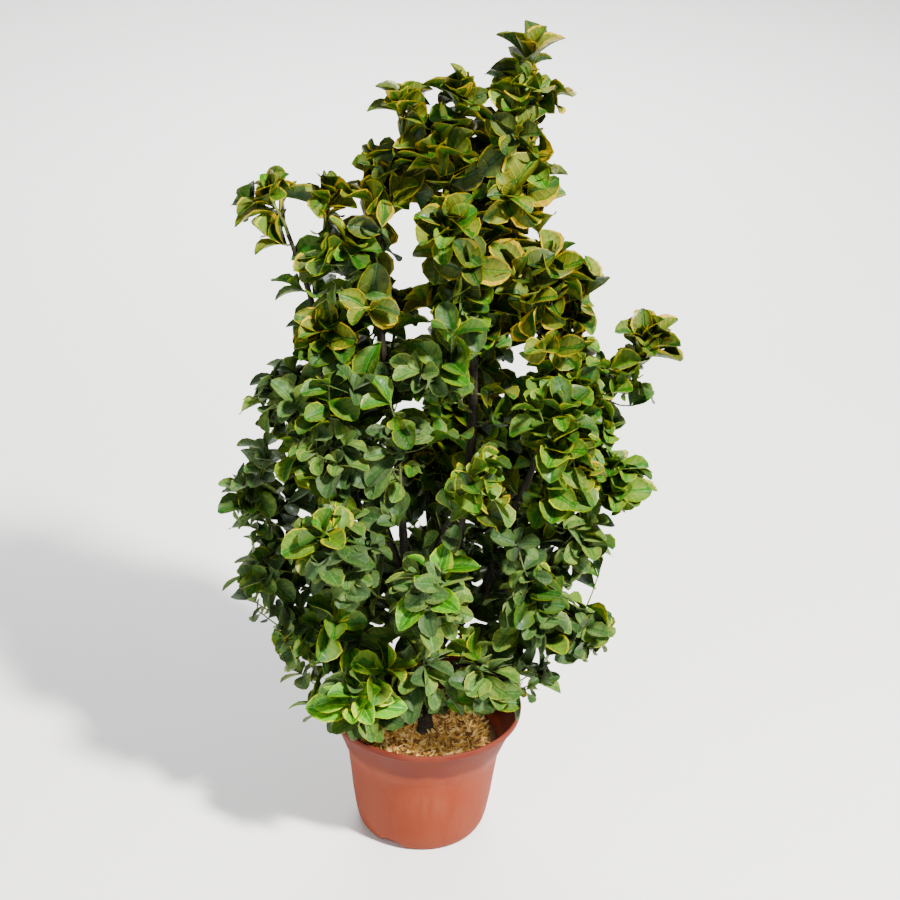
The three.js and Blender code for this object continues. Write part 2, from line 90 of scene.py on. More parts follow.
Limb = namedtuple("Limb", "name parent fork radii path")

LIMBS = [
    Limb("trunk", None, None, (TRUNK["root"], TRUNK["tip"]),
         [(3, 0, 160.3), (3, 0, 200), (20, 0, 325), (41, 0, 500), (55, 0, 666), (52, 0, 836),
          (65, 0, 969), (88, 0, 1085), (97, -2, 1146)]),
    Limb("stem_left", "trunk", 205, (8, 3),
         [(-14, -14, 270), (-30, -18, 394), (-47, -20, 597), (-72, -15, 786), (-86, -10, 930),
          (-74, -4, 1020), (-60, 0, 1092)]),
    Limb("stem_far_left", "stem_left", 430, (6, 3),
         [(-95, 5, 600), (-150, 0, 780), (-184, 0, 900), (-208, 0, 968)]),
    Limb("stem_right", "trunk", 318, (7.5, 3.5),
         [(81, 15, 398), (108, 25, 500), (148, 20, 620), (166, 5, 749), (158, -8, 862)]),
    Limb("stem_back", "trunk", 250, (7, 3.5),
         [(8, 62, 380), (-5, 105, 560), (20, 115, 720), (45, 92, 836)]),
    Limb("stem_back_left", "stem_left", 330, (6, 3.5),
         [(-78, 55, 430), (-122, 90, 560), (-112, 104, 660)]),
    Limb("stem_back_right", "stem_right", 400, (6, 3.5),
         [(112, 72, 480), (134, 105, 590), (130, 108, 668)]),
    Limb("stem_front", "trunk", 290, (6.5, 3.5),
         [(8, -52, 370), (-2, -92, 470), (14, -100, 560), (34, -102, 598)]),
    Limb("bough_low_right", "trunk", 258, (7, 4),
         [(94, -5, 315), (151, -15, 358), (186, -20, 366)]),
    Limb("bough_right_flank", "stem_right", 440, (5.5, 3.5),
         [(155, 18, 486), (212, 8, 540), (244, 6, 566)]),
    Limb("bough_right_sprig", "stem_right", 640, (4.5, 3),
         [(212, 8, 690), (250, 2, 738), (266, 0, 768)]),
    Limb("bough_low_left", "stem_left", 285, (5.5, 3.5),
         [(-85, -34, 318), (-128, -42, 338)]),
    Limb("bough_left_low", "stem_left", 372, (5.5, 3.5),
         [(-110, -8, 425), (-188, -9, 446)]),
    Limb("bough_top", "trunk", 930, (5, 3),
         [(32, -8, 1010), (14, -14, 1096)]),
]

# Masses of leaves: the limb that carries each, the height where it leaves (none means the limb's tip),
# the heart of its cell, its reach from the heart, and the family of leaves that most of it bears

Mass = namedtuple("Mass", "name limb fork heart reach family")

MASSES = [
    Mass("top_leader", "trunk", None, (107, -8, 1202), 62, "golden"),
    Mass("top_right", "trunk", 1032, (109, -5, 1069), 54, "golden"),
    Mass("top_middle", "bough_top", None, (21, -15, 1160), 46, "golden"),
    Mass("top_left_spire", "stem_left", None, (-56, 2, 1148), 42, "golden"),
    Mass("upper_inner", "bough_top", 1030, (0, -22, 1078), 58, "golden"),
    Mass("upper_left", "stem_left", 975, (-90, 8, 1046), 51, "golden"),
    Mass("upper_front", "trunk", 905, (15, -50, 1001), 55, "golden"),
    Mass("sprig_far_left", "stem_far_left", None, (-232, 0, 1018), 43, "golden"),
    Mass("sprig_left", "stem_far_left", 890, (-150, 2, 1024), 38, "golden"),
    Mass("shoulder_left", "stem_left", 860, (-128, -18, 939), 64, "green"),
    Mass("left_upper", "stem_far_left", 745, (-145, -14, 826), 64, "green"),
    Mass("shoulder_right", "stem_right", None, (148, -20, 923), 64, "golden"),
    Mass("right_upper", "stem_right", 775, (175, 10, 841), 59, "golden"),
    Mass("inner_spire", "stem_left", 770, (-58, 38, 844), 41, "green"),
    Mass("inner_upper", "trunk", 815, (43, -32, 892), 64, "green"),
    Mass("inner_middle", "trunk", 710, (21, -54, 789), 71, "green"),
    Mass("right_middle", "stem_right", 665, (184, -10, 740), 75, "green"),
    Mass("sprig_right", "bough_right_sprig", None, (292, 0, 820), 53, "golden"),
    Mass("right_far", "bough_right_flank", None, (264, 5, 606), 60, "green"),
    Mass("right_inner", "stem_right", 555, (174, -66, 653), 74, "green"),
    Mass("left_middle", "stem_far_left", 640, (-198, 0, 733), 65, "dusty"),
    Mass("left_inner", "stem_far_left", 560, (-144, -62, 672), 80, "dusty"),
    Mass("left_far", "bough_left_low", 436, (-262, 0, 561), 48, "dusty"),
    Mass("centre_left", "stem_left", 590, (-47, -52, 676), 77, "dusty"),
    Mass("centre_front", "stem_front", None, (60, -116, 648), 79, "green"),
    Mass("left_low", "bough_left_low", None, (-232, -10, 441), 67, "dusty"),
    Mass("left_front", "stem_left", 402, (-133, -104, 542), 81, "dusty"),
    Mass("front_low", "stem_front", 420, (4, -152, 501), 78, "young"),
    Mass("foot_left", "bough_low_left", None, (-179, -52, 356), 69, "dusty"),
    Mass("foot_lime", "trunk", 190, (-95, -126, 302), 64, "young"),
    Mass("foot_centre", "trunk", 236, (-3, -98, 331), 59, "dusty"),
    Mass("foot_right", "trunk", 215, (91, -84, 309), 64, "dusty"),
    Mass("right_low", "bough_low_right", None, (230, -22, 363), 63, "dusty"),
    Mass("right_lower", "bough_low_right", 330, (148, -66, 435), 78, "dusty"),
    Mass("right_flank", "bough_right_flank", 500, (207, -6, 500), 68, "dusty"),
    Mass("back_foot", "stem_back", 320, (22, 148, 376), 82, "dusty"),
    Mass("back_foot_left", "stem_back_left", 370, (-118, 104, 366), 80, "dusty"),
    Mass("back_foot_right", "stem_back_right", 430, (146, 92, 372), 78, "dusty"),
    Mass("back_left", "stem_back_left", 500, (-158, 110, 560), 82, "dusty"),
    Mass("back_middle", "stem_back", 490, (2, 172, 560), 84, "green"),
    Mass("back_right", "stem_back_right", 530, (164, 132, 562), 80, "green"),
    Mass("back_left_upper", "stem_back_left", None, (-100, 112, 736), 78, "green"),
    Mass("back_upper", "stem_back", 670, (36, 150, 744), 78, "green"),
    Mass("back_shoulder", "stem_back", None, (62, 78, 900), 68, "golden"),
]

# Where the random draws of each kind start, the x of the crown's upright axis, and the x and y that part
# its left, right and back

SEEDS = {"mass": 4100, "limb": 5100, "stray": 6100, "fresh": 7100, "leaf": 900, "chips": 77}
CROWN_AXIS_X = 40
CROWN_MIDDLE = (-20, 14)

# Tips of the stray sprays that fill the crown out between the masses

SPRAY_TIPS = [
    (152, -82, 296), (176, -60, 296), (262, -2, 768), (238, -6, 792), (-238, -16, 628), (-268, -8, 392),
    (-280, 0, 430), (-276, 0, 516), (130, -6, 996), (112, 0, 1016), (92, -18, 752), (84, -6, 700),
    (112, -4, 834), (62, -46, 352), (-46, -60, 366), (-98, -62, 366), (-220, 0, 956), (-168, 0, 886),
    (-150, -104, 262), (-44, 0, 1122), (62, -6, 1112), (-40, -70, 318), (36, -86, 296),
    (-120, -60, 420), (175, -6, 284), (148, -14, 296), (-243, 0, 649), (-207, -6, 558), (-256, 0, 366),
    (-194, -4, 262), (-164, -80, 250), (95, -6, 675), (80, -12, 670), (290, 0, 762), (255, 0, 456),
    (136, -4, 1172), (-192, 0, 890), (-221, -4, 679), (-12, -14, 879), (-258, 0, 1008), (-48, -80, 566),
    (208, 0, 900), (64, -80, 360), (254, 0, 686), (99, -10, 883), (-256, 0, 717), (58, 72, 1030),
    (14, 66, 1052), (92, 70, 972), (26, 84, 968), (-56, 66, 1040), (-84, 72, 962), (-128, 70, 884),
    (150, 76, 872), (112, 96, 838), (178, 74, 760), (-70, 92, 830), (44, -88, 962), (88, -66, 1052),
    (-92, -74, 892), (148, -88, 846), (20, -104, 872), (176, -80, 756), (-62, -108, 772),
    (-146, -82, 782), (96, -60, 1130), (64, 84, 750), (60, 72, 700), (112, 76, 690), (28, 78, 680),
    (-54, 78, 688), (66, 86, 640), (14, 80, 570), (64, 84, 486), (126, 80, 562), (20, 84, 500),
    (-32, 80, 560), (-216, 60, 530), (20, 86, 620), (96, 84, 610), (-52, -118, 350), (-129, -112, 421),
    (168, -84, 712), (123, -112, 561), (124, -66, 904), (143, -84, 758), (-111, -84, 778),
    (-23, -84, 809), (-192, -52, 737), (193, -66, 730), (104, -66, 941), (-240, -40, 444),
]

# Fresh bright sprays that stand in front of the crown: family, tone and tip

FRESH_SPRAYS = [
    ("green", 2, (7, -72, 1003)), ("green", 2, (-130, -130, 566)), ("young", 1, (2, -168, 507)),
    ("green", 2, (52, -132, 667)), ("young", 2, (-100, -150, 318)),
]

# Sky that the photograph shows through and beside the crown: x, height and radius over the pot's middle,
# as seen from the eye

EYE = (0, -2310, 1780)
SKY = [
    (236, 878, 20), (-50, 980, 19), (-47, 917, 18), (286, 668, 18), (-251, 318, 18), (-192, 979, 15),
    (243, 836, 15), (-222, 807, 14), (244, 406, 16), (-281, 374, 12), (229, 266, 15), (290, 545, 14),
    (-86, 1114, 12), (302, 786, 12), (-283, 496, 9), (262, 464, 13), (-19, 834, 11), (-208, 926, 11),
    (133, 785, 11), (156, 983, 10), (-24, 1174, 10), (-124, 1052, 10), (-120, 1008, 10),
    (130, 1211, 10), (44, 1191, 9), (-91, 833, 10), (283, 726, 10), (-86, 1168, 9), (51, 1150, 8),
    (-16, 732, 8), (134, 1145, 8), (-151, 1086, 14), (157, 1224, 20), (56, 1246, 21), (-138, 1082, 14),
    (-185, 1055, 14), (-256, 1058, 12), (317, 611, 9), (266, 296, 13), (182, 226, 11), (150, 1092, 11),
    (-238, 271, 12), (-301, 427, 8), (-56, 1001, 11), (105, 1270, 9), (247, 812, 9), (-229, 1060, 9),
    (-116, 1055, 9), (-87, 812, 10), (-30, 712, 12), (184, 784, 9), (-290, 606, 9), (-188, 222, 10),
    (168, 1200, 8),
]

# The mulch shows through here, in the same measure

MULCH_VIEW = [(-18, 135, 18), (30, 150, 26), (78, 167, 21), (1, 174, 11), (118, 190, 11)]

# Dark gaps between the front leaves, in the same measure, and how far back leaves are kept out of them

HOLLOWS = [
    (57, 518, 20), (18, 533, 16), (85, 492, 13), (11, 604, 15), (27, 639, 16), (-16, 642, 15),
    (154, 606, 14), (131, 546, 13), (123, 585, 12), (124, 626, 10), (28, 712, 17), (57, 732, 14),
    (61, 776, 17), (67, 671, 12), (99, 754, 11), (115, 711, 11), (85, 806, 11), (27, 240, 11),
    (-73, 405, 13), (-70, 363, 11), (-47, 326, 9), (-44, 509, 16), (-13, 486, 11), (2, 272, 9),
    (-60, 645, 13), (-69, 1043, 11), (-28, 593, 14), (163, 527, 11), (112, 412, 11), (-145, 912, 14),
    (-209, 563, 9), (-89, 941, 10), (13, 803, 11), (-13, 1063, 9), (31, 1046, 12), (-53, 726, 13),
    (186, 489, 9), (96, 843, 9), (141, 646, 10), (63, 661, 10), (-34, 546, 9), (-97, 663, 9),
    (138, 835, 10), (-81, 695, 11), (106, 603, 12), (118, 559, 10), (-2, 562, 12), (44, 631, 10),
    (80, 879, 9), (-185, 539, 9), (96, 1070, 9), (-55, 610, 11), (-143, 653, 10), (24, 1036, 10),
    (136, 241, 8), (178, 830, 9), (163, 582, 9), (-18, 537, 10), (7, 463, 9), (31, 324, 8),
]
HOLLOW_DEPTH = 15

# A mass's shoots: how they reach, fan out and turn up, the shares of their length that are tried, where on
# the stem they start, and the area that each fills in a mass of each family

SHOOT = {
    "lead": 0.85, "scatter": 0.7, "lowest": -58, "highest": 62, "outward": 0.35, "lift": 0.8, "sag": 0.16,
    "leaf_room": 34, "shortest": 12, "sizes": (1, 0.82, 0.64), "start": (0.25, 0.85),
    "area": {"golden": 520, "green": 420, "dusty": 420, "young": 480},
}

# Short spurs along a limb: where they begin, how far apart, how long and how steep they are, and the limbs
# that are bare towards the tip

SPUR = {
    "lowest": 300, "first": 0.12, "spacing": 20, "length": (14, 36), "rise": 32,
    "bare": ("stem_far_left",), "bare_from": 0.6,
}

# The radii of a mass's stem at its foot and tip, and of a side twig

TWIG = {"stem": 3.0, "lead": 1.6, "side": 1.35, "tip": 0.95}

# The sizes of a whorl's pairs from the bud outwards, their spacing and that of the pairs below, where the
# first and last of those are, and how often a leaf is missing

WHORL = {
    "sizes": (0.5, 0.8, 1.0, 1.0), "spacing": 3.4, "below": 15.0, "first": 0.6, "last": 0.92,
    "missing": 0.13,
}

# The room for leaves: how far they reach beyond a mass, round stray and fresh tips and round stems, how far
# they keep from limbs and pot, how close two may be, and the height that only the leader passes

SPACE = {
    "beyond": 15, "stray": 44, "fresh": 84, "sleeve": 42, "limb": 1.5, "pot": 3, "crowding": 11,
    "ceiling": 1230,
}

# How one leaf differs from the next: the spans of its turn, pitch in degrees, roll and length, how often it
# keeps its spray's tone, how far out its middle is, and the sizes that are tried

LEAF = {
    "turn": 0.6, "pitch": 38, "roll": 1.1, "shortest": 0.7, "length": 0.46, "own_tone": 0.7, "middle": 0.6,
    "sizes": (1, 0.84, 0.68),
}

# What the sprays of each family's masses turn out as, by the share of the draws up to which each holds

DEALS = {
    "golden": ((0.85, "golden"), (1, "green")),
    "green": ((0.2, "dusty"), (0.84, "green"), (1, "golden")),
    "dusty": ((0.8, "dusty"), (1, "green")),
    "young": ((0.06, "young"), (1, "dusty")),
}

# Each family's leaf length, the pitch of a whorl's pairs from the bud outwards and of the pairs below, and
# how often the yellow margin runs in over a leaf

Habit = namedtuple("Habit", "length pitches below patched")

HABITS = {
    "golden": Habit(64, (8, 24, 40, 54), 60, 0.13),
    "green": Habit(59, (14, 34, 54, 70), 70, 0.08),
    "dusty": Habit(53, (20, 44, 68, 86), 84, 0.015),
    "young": Habit(78, (10, 34, 58, 76), 76, 0.0),
}

# Random numbers and paths, by the part's own rule

LOW_BITS = 0xFFFFFFFF
STATE_STEP = 0x6D2B79F5


def seeded(seed):
    """Seeded random numbers from 0 to 1"""
    state = seed & LOW_BITS

    def draw():
        nonlocal state
        state = (state + STATE_STEP) & LOW_BITS
        mixed = ((state ^ (state >> 15)) * (state | 1)) & LOW_BITS
        mixed ^= (mixed + ((mixed ^ (mixed >> 7)) * (mixed | 61))) & LOW_BITS
        return ((mixed ^ (mixed >> 14)) & LOW_BITS) / (LOW_BITS + 1)

    return draw


class Path:
    """A smooth path through points. A share of it counts its points, not its length."""

    def __init__(self, points):
        self.points = [Vector(p) for p in points]

    def at(self, share):
        points = self.points
        last = len(points) - 1
        place = min(max(share, 0.0), 1.0) * last
        index = min(int(place), last - 1)
        t = place - index
        here, there = points[index], points[index + 1]
        before = points[index - 1] if index > 0 else here * 2 - there
        after = points[index + 2] if index + 2 <= last else there * 2 - here
        leave, arrive = (there - before) * 0.5, (after - here) * 0.5
        return (
            here + leave * t
            + (here * -3 + there * 3 - leave * 2 - arrive) * t ** 2
            + (here * 2 - there * 2 + leave + arrive) * t ** 3
        )

    def way(self, share):
        low, high = max(share - 1e-3, 0), min(share + 1e-3, 1)
        return (self.at(high) - self.at(low)).normalized()

    def length(self):
        spots = [self.at(i / 40) for i in range(41)]
        return sum((b - a).length for a, b in zip(spots, spots[1:]))

    def share_at_height(self, height):
        low, high = 0.0, 1.0
        for _ in range(40):
            middle = (low + high) / 2
            if self.at(middle).z < height:
                low = middle
            else:
                high = middle
        return (low + high) / 2


# Growth


def grow_limbs():
    """Each limb's path and its radius at a share of it"""
    limbs = {}
    for limb in LIMBS:
        points = [Vector(p) for p in limb.path]
        if limb.parent:
            parent = limbs[limb.parent][0]
            points.insert(0, parent.at(parent.share_at_height(limb.fork)))
        path = Path(points)
        limbs[limb.name] = (path, limb_radius(limb, path))
    return limbs


def limb_radius(limb, path):
    root, tip = limb.radii
    flare = 0 if limb.parent else TRUNK["flare"]
    ground = path.points[0].z

    def radius_at(share):
        rise = path.at(share).z - ground
        return root + (tip - root) * share + flare * math.exp(-rise / TRUNK["flare_height"])

    return radius_at


def mass_seed(mass):
    return SEEDS["mass"] + MASSES.index(mass) * 20


def shoot_room(mass):
    """How far from its heart a mass's shoots end"""
    return max(mass.reach - SHOOT["leaf_room"], SHOOT["shortest"])


def mass_stem(mass, limbs):
    """A mass's stem runs from its limb to its heart and up to the tip of its leading shoot"""
    limb = limbs[mass.limb][0]
    heart = Vector(mass.heart)
    at_tip = mass.fork is None
    share = 1 if at_tip else limb.share_at_height(mass.fork)
    start = limb.at(share)
    length = (heart - start).length
    bend = start.lerp(heart, 0.5) - UP * length * SHOOT["sag"]
    if at_tip:
        bend = start + limb.way(share) * length * 0.4
    lead = heart + UP * shoot_room(mass) * SHOOT["lead"]
    return Path([start, bend, heart, lead])


def beads(path, radius_at, spacing=5):
    """Points along a round body with their radii, as rows of x, y, z and radius"""
    count = math.ceil(path.length() / spacing)
    shares = [i / count for i in range(count + 1)]
    return np.array([[*path.at(s), radius_at(s)] for s in shares])


class Space:
    """The room that the leaves keep to: round the hearts and along the limbs, clear of wood and pot"""

    def __init__(self, limbs, stems):
        fresh = [tip for _, _, tip in FRESH_SPRAYS]
        self.hearts = np.array([mass.heart for mass in MASSES] + SPRAY_TIPS + fresh, float)
        reaches = [mass.reach + SPACE["beyond"] for mass in MASSES]
        reaches += [SPACE["stray"]] * len(SPRAY_TIPS) + [SPACE["fresh"]] * len(fresh)
        self.reaches = np.array(reaches, float)
        self.wood = np.concatenate([beads(path, radius_at) for path, radius_at in limbs.values()])
        lines = [beads(path, lambda share: 0, 12) for path in stems.values()]
        self.lines = np.concatenate([self.wood[::2], *lines])[:, :3]
        clear = SKY + MULCH_VIEW + HOLLOWS
        ways = [Vector((x - EYE[0], -EYE[1], z - EYE[2])) for x, z, _ in clear]
        self.clear_ways = np.array([way.normalized() for way in ways])
        self.clear_shares = np.array([radius / way.length for (_, _, radius), way in zip(clear, ways)])
        through = len(SKY) + len(MULCH_VIEW)
        self.clear_depths = np.array([math.inf] * through + [HOLLOW_DEPTH] * len(HOLLOWS))
        self.taken = {}
        self.ceiling = SPACE["ceiling"]

    def holds(self, points, radius=0.0):
        if (points[:, 2] > self.ceiling).any():
            return False
        from_hearts = np.linalg.norm(points[:, None, :] - self.hearts[None], axis=2)
        inside = (from_hearts + radius < self.reaches).any(axis=1)
        if not inside.all():
            from_lines = np.linalg.norm(points[~inside][:, None, :] - self.lines[None], axis=2)
            if (from_lines.min(axis=1) > SPACE["sleeve"]).any():
                return False
        return clear_of_pot(points, radius) and self.clear_of_wood(points, radius)

    def in_the_way(self, points):
        """Whether a leaf would cover sky, mulch or a hollow that the photograph shows"""
        seen = points - np.array(EYE)
        ahead = seen @ self.clear_ways.T
        aside = np.sqrt(np.maximum((seen ** 2).sum(axis=1)[:, None] - ahead ** 2, 0))
        in_front = points[:, 1][:, None] < self.clear_depths
        return bool((in_front & (aside < ahead * self.clear_shares)).any())

    def clear_of_wood(self, points, radius):
        apart = np.linalg.norm(points[:, None, :] - self.wood[None, :, :3], axis=2)
        return bool((apart > self.wood[None, :, 3] + radius + SPACE["limb"]).all())

    def cell(self, middle):
        return tuple(int(part // SPACE["crowding"]) for part in middle)

    def crowded(self, middle):
        x, y, z = self.cell(middle)
        return any(
            (middle - other).length < SPACE["crowding"]
            for i in (-1, 0, 1) for j in (-1, 0, 1) for k in (-1, 0, 1)
            for other in self.taken.get((x + i, y + j, z + k), ())
        )

    def take(self, middle):
        self.taken.setdefault(self.cell(middle), []).append(middle)


def clear_of_pot(points, radius):
    """Above the rim everything is free, and below it the well over the mulch and the space outside"""
    low = points[points[:, 2] - radius < POT["height"] + SPACE["pot"]]
    if not len(low):
        return True
    out = np.hypot(low[:, 0], low[:, 1])
    in_well = (out + radius < MULCH["well"]) & (low[:, 2] - radius > MULCH["top"] + SPACE["pot"])
    outside = out - radius > POT["rim"] + SPACE["pot"]
    return bool((in_well | outside).all())


# A leaf runs from its root along its way, its width lies along its side, and its top looks to its face

Leaf = namedtuple("Leaf", "root way side face length family tone shape")
Twig = namedtuple("Twig", "path radii")
Spray = namedtuple("Spray", "family tone")


def square_to(axis, turn):
    """A direction square to an axis, turned about it"""
    across = Vector((1, 0, 0)).cross(axis)
    if across.length < 1e-3:
        across = Vector((0, 1, 0)).cross(axis)
    return Matrix.Rotation(turn, 3, axis) @ across.normalized()


def leaf_spots(root, way, side, length):
    """The points that a leaf is tested at: its middle line and its widest place"""
    shares = ((0.35, 0), (0.65, 0), (1.0, 0), (0.6, 0.28), (0.6, -0.28))
    return np.array([root + way * along * length + side * across * length for along, across in shares])


def grow_leaf(at, axis, turn, pitch, length, spray, random, space):
    """One leaf that springs from a twig. It is tried smaller where it has no room, and else left out."""
    out = square_to(axis, turn + (random() - 0.5) * LEAF["turn"])
    pitch += math.radians((random() - 0.5) * LEAF["pitch"])
    way = axis * math.cos(pitch) + out * math.sin(pitch)
    face = axis * math.sin(pitch) - out * math.cos(pitch)
    face = Matrix.Rotation((random() - 0.5) * LEAF["roll"], 3, way) @ face
    side = face.cross(way).normalized()
    length *= LEAF["shortest"] + LEAF["length"] * random()
    shape = int(random() * SHAPES)
    tone = spray.tone if random() < LEAF["own_tone"] else int(random() * (TONES - 1))
    if random() < WHORL["missing"]:
        return []
    if random() < HABITS[spray.family].patched:
        tone = TONES - 1
    for size in LEAF["sizes"]:
        middle = at + way * length * size * LEAF["middle"]
        spots = leaf_spots(at, way, side, length * size)
        if not space.crowded(middle) and not space.in_the_way(spots) and space.holds(spots):
            space.take(middle)
            return [Leaf(at, way, side, face, length * size, spray.family, tone, shape)]
    return []


def grow_pair(at, axis, turn, pitch, length, spray, random, space):
    """Two leaves opposite one another"""
    return [
        leaf for half in (0, 1)
        for leaf in grow_leaf(at, axis, turn + half * math.pi, pitch, length, spray, random, space)
    ]


def grow_whorl(path, spray, random, space, pairs=4):
    """The whorl at a shoot's tip and the pairs down its twig, each turned a quarter from the last.
    Only the whorl is young on a young shoot."""
    habit = HABITS[spray.family]
    tip, way = path.at(1), path.way(1)
    axis = (way + UP * SHOOT["lift"]).normalized()
    turn = random() * math.pi
    leaves = []
    for i in range(pairs):
        root = tip - way * WHORL["spacing"] * i
        pitch = math.radians(habit.pitches[i])
        length = habit.length * WHORL["sizes"][i]
        leaves += grow_pair(root, axis, turn, pitch, length, spray, random, space)
        turn += math.pi / 2
    if spray.family == "young":
        spray, habit = Spray("dusty", spray.tone), HABITS["dusty"]
    span = path.length()
    place = WHORL["spacing"] * pairs + WHORL["below"] * WHORL["first"]
    pitch = math.radians(habit.below)
    while place < span * WHORL["last"]:
        share = 1 - place / span
        root, ahead = path.at(share), path.way(share)
        leaves += grow_pair(root, ahead, turn, pitch, habit.length, spray, random, space)
        turn += math.pi / 2
        place += WHORL["below"] * (0.85 + 0.3 * random())
    return leaves


def deal_spray(family, random):
    """The family and tone of one spray: mostly the mass's own, with some of its neighbours'"""
    draw = random()
    dealt = next(other for share, other in DEALS[family] if draw <= share)
    return Spray(dealt, int(random() * (TONES - 1)))


def side_shoot(mass, stem, index, count, random):
    """A side shoot's path: from the stem, out by the golden angle, and turning up to its tip"""
    share = (index + 0.5) / count
    rise = math.radians(SHOOT["highest"] + (SHOOT["lowest"] - SHOOT["highest"]) * share)
    turn = mass_seed(mass) + index * GOLDEN_ANGLE + (random() - 0.5) * SHOOT["scatter"]
    way = Vector((math.cos(turn) * math.cos(rise), math.sin(turn) * math.cos(rise), math.sin(rise)))
    heart = Vector(mass.heart)
    outward = Vector((heart.x - CROWN_AXIS_X, heart.y, 0)).normalized()
    way = (way + outward * SHOOT["outward"]).normalized()
    reach = shoot_room(mass) * (0.55 + 0.55 * random())
    low, high = SHOOT["start"]
    leave = high + (low - high) * share * (0.7 + 0.3 * random())
    return stem.at(leave), heart + way * reach


def bowed(start, tip):
    """A twig's path, which leaves level and turns up"""
    bend = start.lerp(tip, 0.5) - UP * (tip - start).length * 0.1
    return Path([start, bend, tip])


def grow_side_shoot(mass, stem, index, count, random, space):
    start, far = side_shoot(mass, stem, index, count, random)
    for size in SHOOT["sizes"]:
        path = bowed(start, Vector(mass.heart).lerp(far, size))
        spots = np.array([path.at(0.4), path.at(0.7), path.at(1)])
        if space.holds(spots, TWIG["side"]):
            spray = deal_spray(mass.family, random)
            return [Twig(path, (TWIG["side"], TWIG["tip"]))], grow_whorl(path, spray, random, space)
    return [], []


def grow_mass(mass, stem, space):
    """A mass's twigs and leaves. Only the leader's own whorl stands above the ceiling."""
    random = seeded(mass_seed(mass))
    spray = Spray(mass.family, int(random() * (TONES - 1)))
    twigs = [Twig(stem, (TWIG["stem"], TWIG["lead"]))]
    if mass.name == "top_leader":
        space.ceiling = math.inf
    leaves = grow_whorl(stem, spray, random, space)
    space.ceiling = SPACE["ceiling"]
    count = max(3, round(mass.reach ** 2 / SHOOT["area"][mass.family]))
    for index in range(count):
        more_twigs, more_leaves = grow_side_shoot(mass, stem, index, count, random, space)
        twigs += more_twigs
        leaves += more_leaves
    return twigs, leaves


def family_near(point):
    """The family of the mass whose cell a point is in"""
    return min(MASSES, key=lambda mass: (point - Vector(mass.heart)).length / mass.reach).family


def grow_spurs(limb, path, space):
    """Short leafy spurs along a limb, each turned by the golden angle from the last"""
    random = seeded(SEEDS["limb"] + LIMBS.index(limb))
    twigs, leaves = [], []
    span = path.length()
    place, turn = span * SPUR["first"], random() * math.tau
    if limb.name in SPUR["bare"]:
        span *= SPUR["bare_from"]
    while place < span:
        share = place / path.length()
        start, ahead = path.at(share), path.way(share)
        turn += GOLDEN_ANGLE
        place += SPUR["spacing"] * (0.7 + 0.6 * random())
        if start.z < SPUR["lowest"]:
            continue
        short, long = SPUR["length"]
        rise = math.radians(SPUR["rise"])
        way = square_to(ahead, turn) * math.cos(rise) + ahead * math.sin(rise)
        twig = bowed(start, start + way * (short + (long - short) * random()))
        if space.holds(np.array([twig.at(1)]), TWIG["side"]):
            spray = deal_spray(family_near(start), random)
            twigs.append(Twig(twig, (TWIG["side"], TWIG["tip"])))
            leaves += grow_whorl(twig, spray, random, space, pairs=3)
    return twigs, leaves


def grow_stray(seed, tip, space, spray=None):
    """A stray spray from the nearest limb or stem, but rather from one that isn't above its tip"""
    random = seeded(seed)
    tip = Vector(tip)
    rises = np.maximum(space.lines[:, 2] - tip.z + 4, 0)
    apart = np.linalg.norm(space.lines - np.array(tip), axis=1) + 3 * rises
    path = bowed(Vector(space.lines[apart.argmin()]), tip)
    spray = spray or deal_spray(family_near(tip), random)
    return [Twig(path, (TWIG["side"] * 1.2, TWIG["tip"]))], grow_whorl(path, spray, random, space)


def grow_crown(limbs):
    """All the twigs and leaves"""
    stems = {mass.name: mass_stem(mass, limbs) for mass in MASSES}
    space = Space(limbs, stems)
    grown = [
        grow_stray(SEEDS["fresh"] + index, tip, space, Spray(family, tone))
        for index, (family, tone, tip) in enumerate(FRESH_SPRAYS)
    ]
    grown += [grow_stray(SEEDS["stray"] + index, tip, space) for index, tip in enumerate(SPRAY_TIPS)]
    grown += [grow_mass(mass, stems[mass.name], space) for mass in MASSES]
    grown += [grow_spurs(limb, limbs[limb.name][0], space) for limb in LIMBS]
    twigs = [twig for more, _ in grown for twig in more]
    leaves = [leaf for _, more in grown for leaf in more]
    return twigs, leaves


# Meshes


def mesh_from(bm, name):
    mesh = bpy.data.meshes.new(name)
    bm.to_mesh(mesh)
    bm.free()
    return mesh


def put_in_scene(name, data):
    item = bpy.data.objects.new(name, data)
    bpy.context.scene.collection.objects.link(item)
    return item


def add_piece(mesh, materials, nodes=(), smooth=True):
    """An object of a finished mesh, which rides on the root and hides the part's nodes"""
    piece = put_in_scene(mesh.name, mesh)
    for material in materials:
        mesh.materials.append(material)
    if smooth:
        mesh.shade_smooth()
    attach(piece, "root")
    if nodes:
        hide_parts(*nodes)
    return piece


class Arrays:
    """A mesh's vertices, edges, corners and faces as arrays, so that it can be laid many times"""

    def __init__(self, mesh):
        self.points = read(mesh.vertices, "co", 3, np.float32)
        self.edges = read(mesh.edges, "vertices", 2, np.int32)
        self.corner_points = read(mesh.loops, "vertex_index", 1, np.int32)
        self.corner_edges = read(mesh.loops, "edge_index", 1, np.int32)
        self.corner_counts = read(mesh.polygons, "loop_total", 1, np.int32)
        self.materials = read(mesh.polygons, "material_index", 1, np.int32)
        self.sharp = np.array([edge.use_edge_sharp for edge in mesh.edges], bool)
        layer = mesh.uv_layers.active
        self.uv = read(layer.uv, "vector", 2, np.float32) if layer else None


def read(items, name, width, kind):
    values = np.empty(len(items) * width, kind)
    items.foreach_get(name, values)
    return values.reshape(-1, width) if width > 1 else values


def starts_of(counts):
    """Where each of a row of stretches starts, from how long each is"""
    return np.concatenate([[0], np.cumsum(counts)[:-1]])


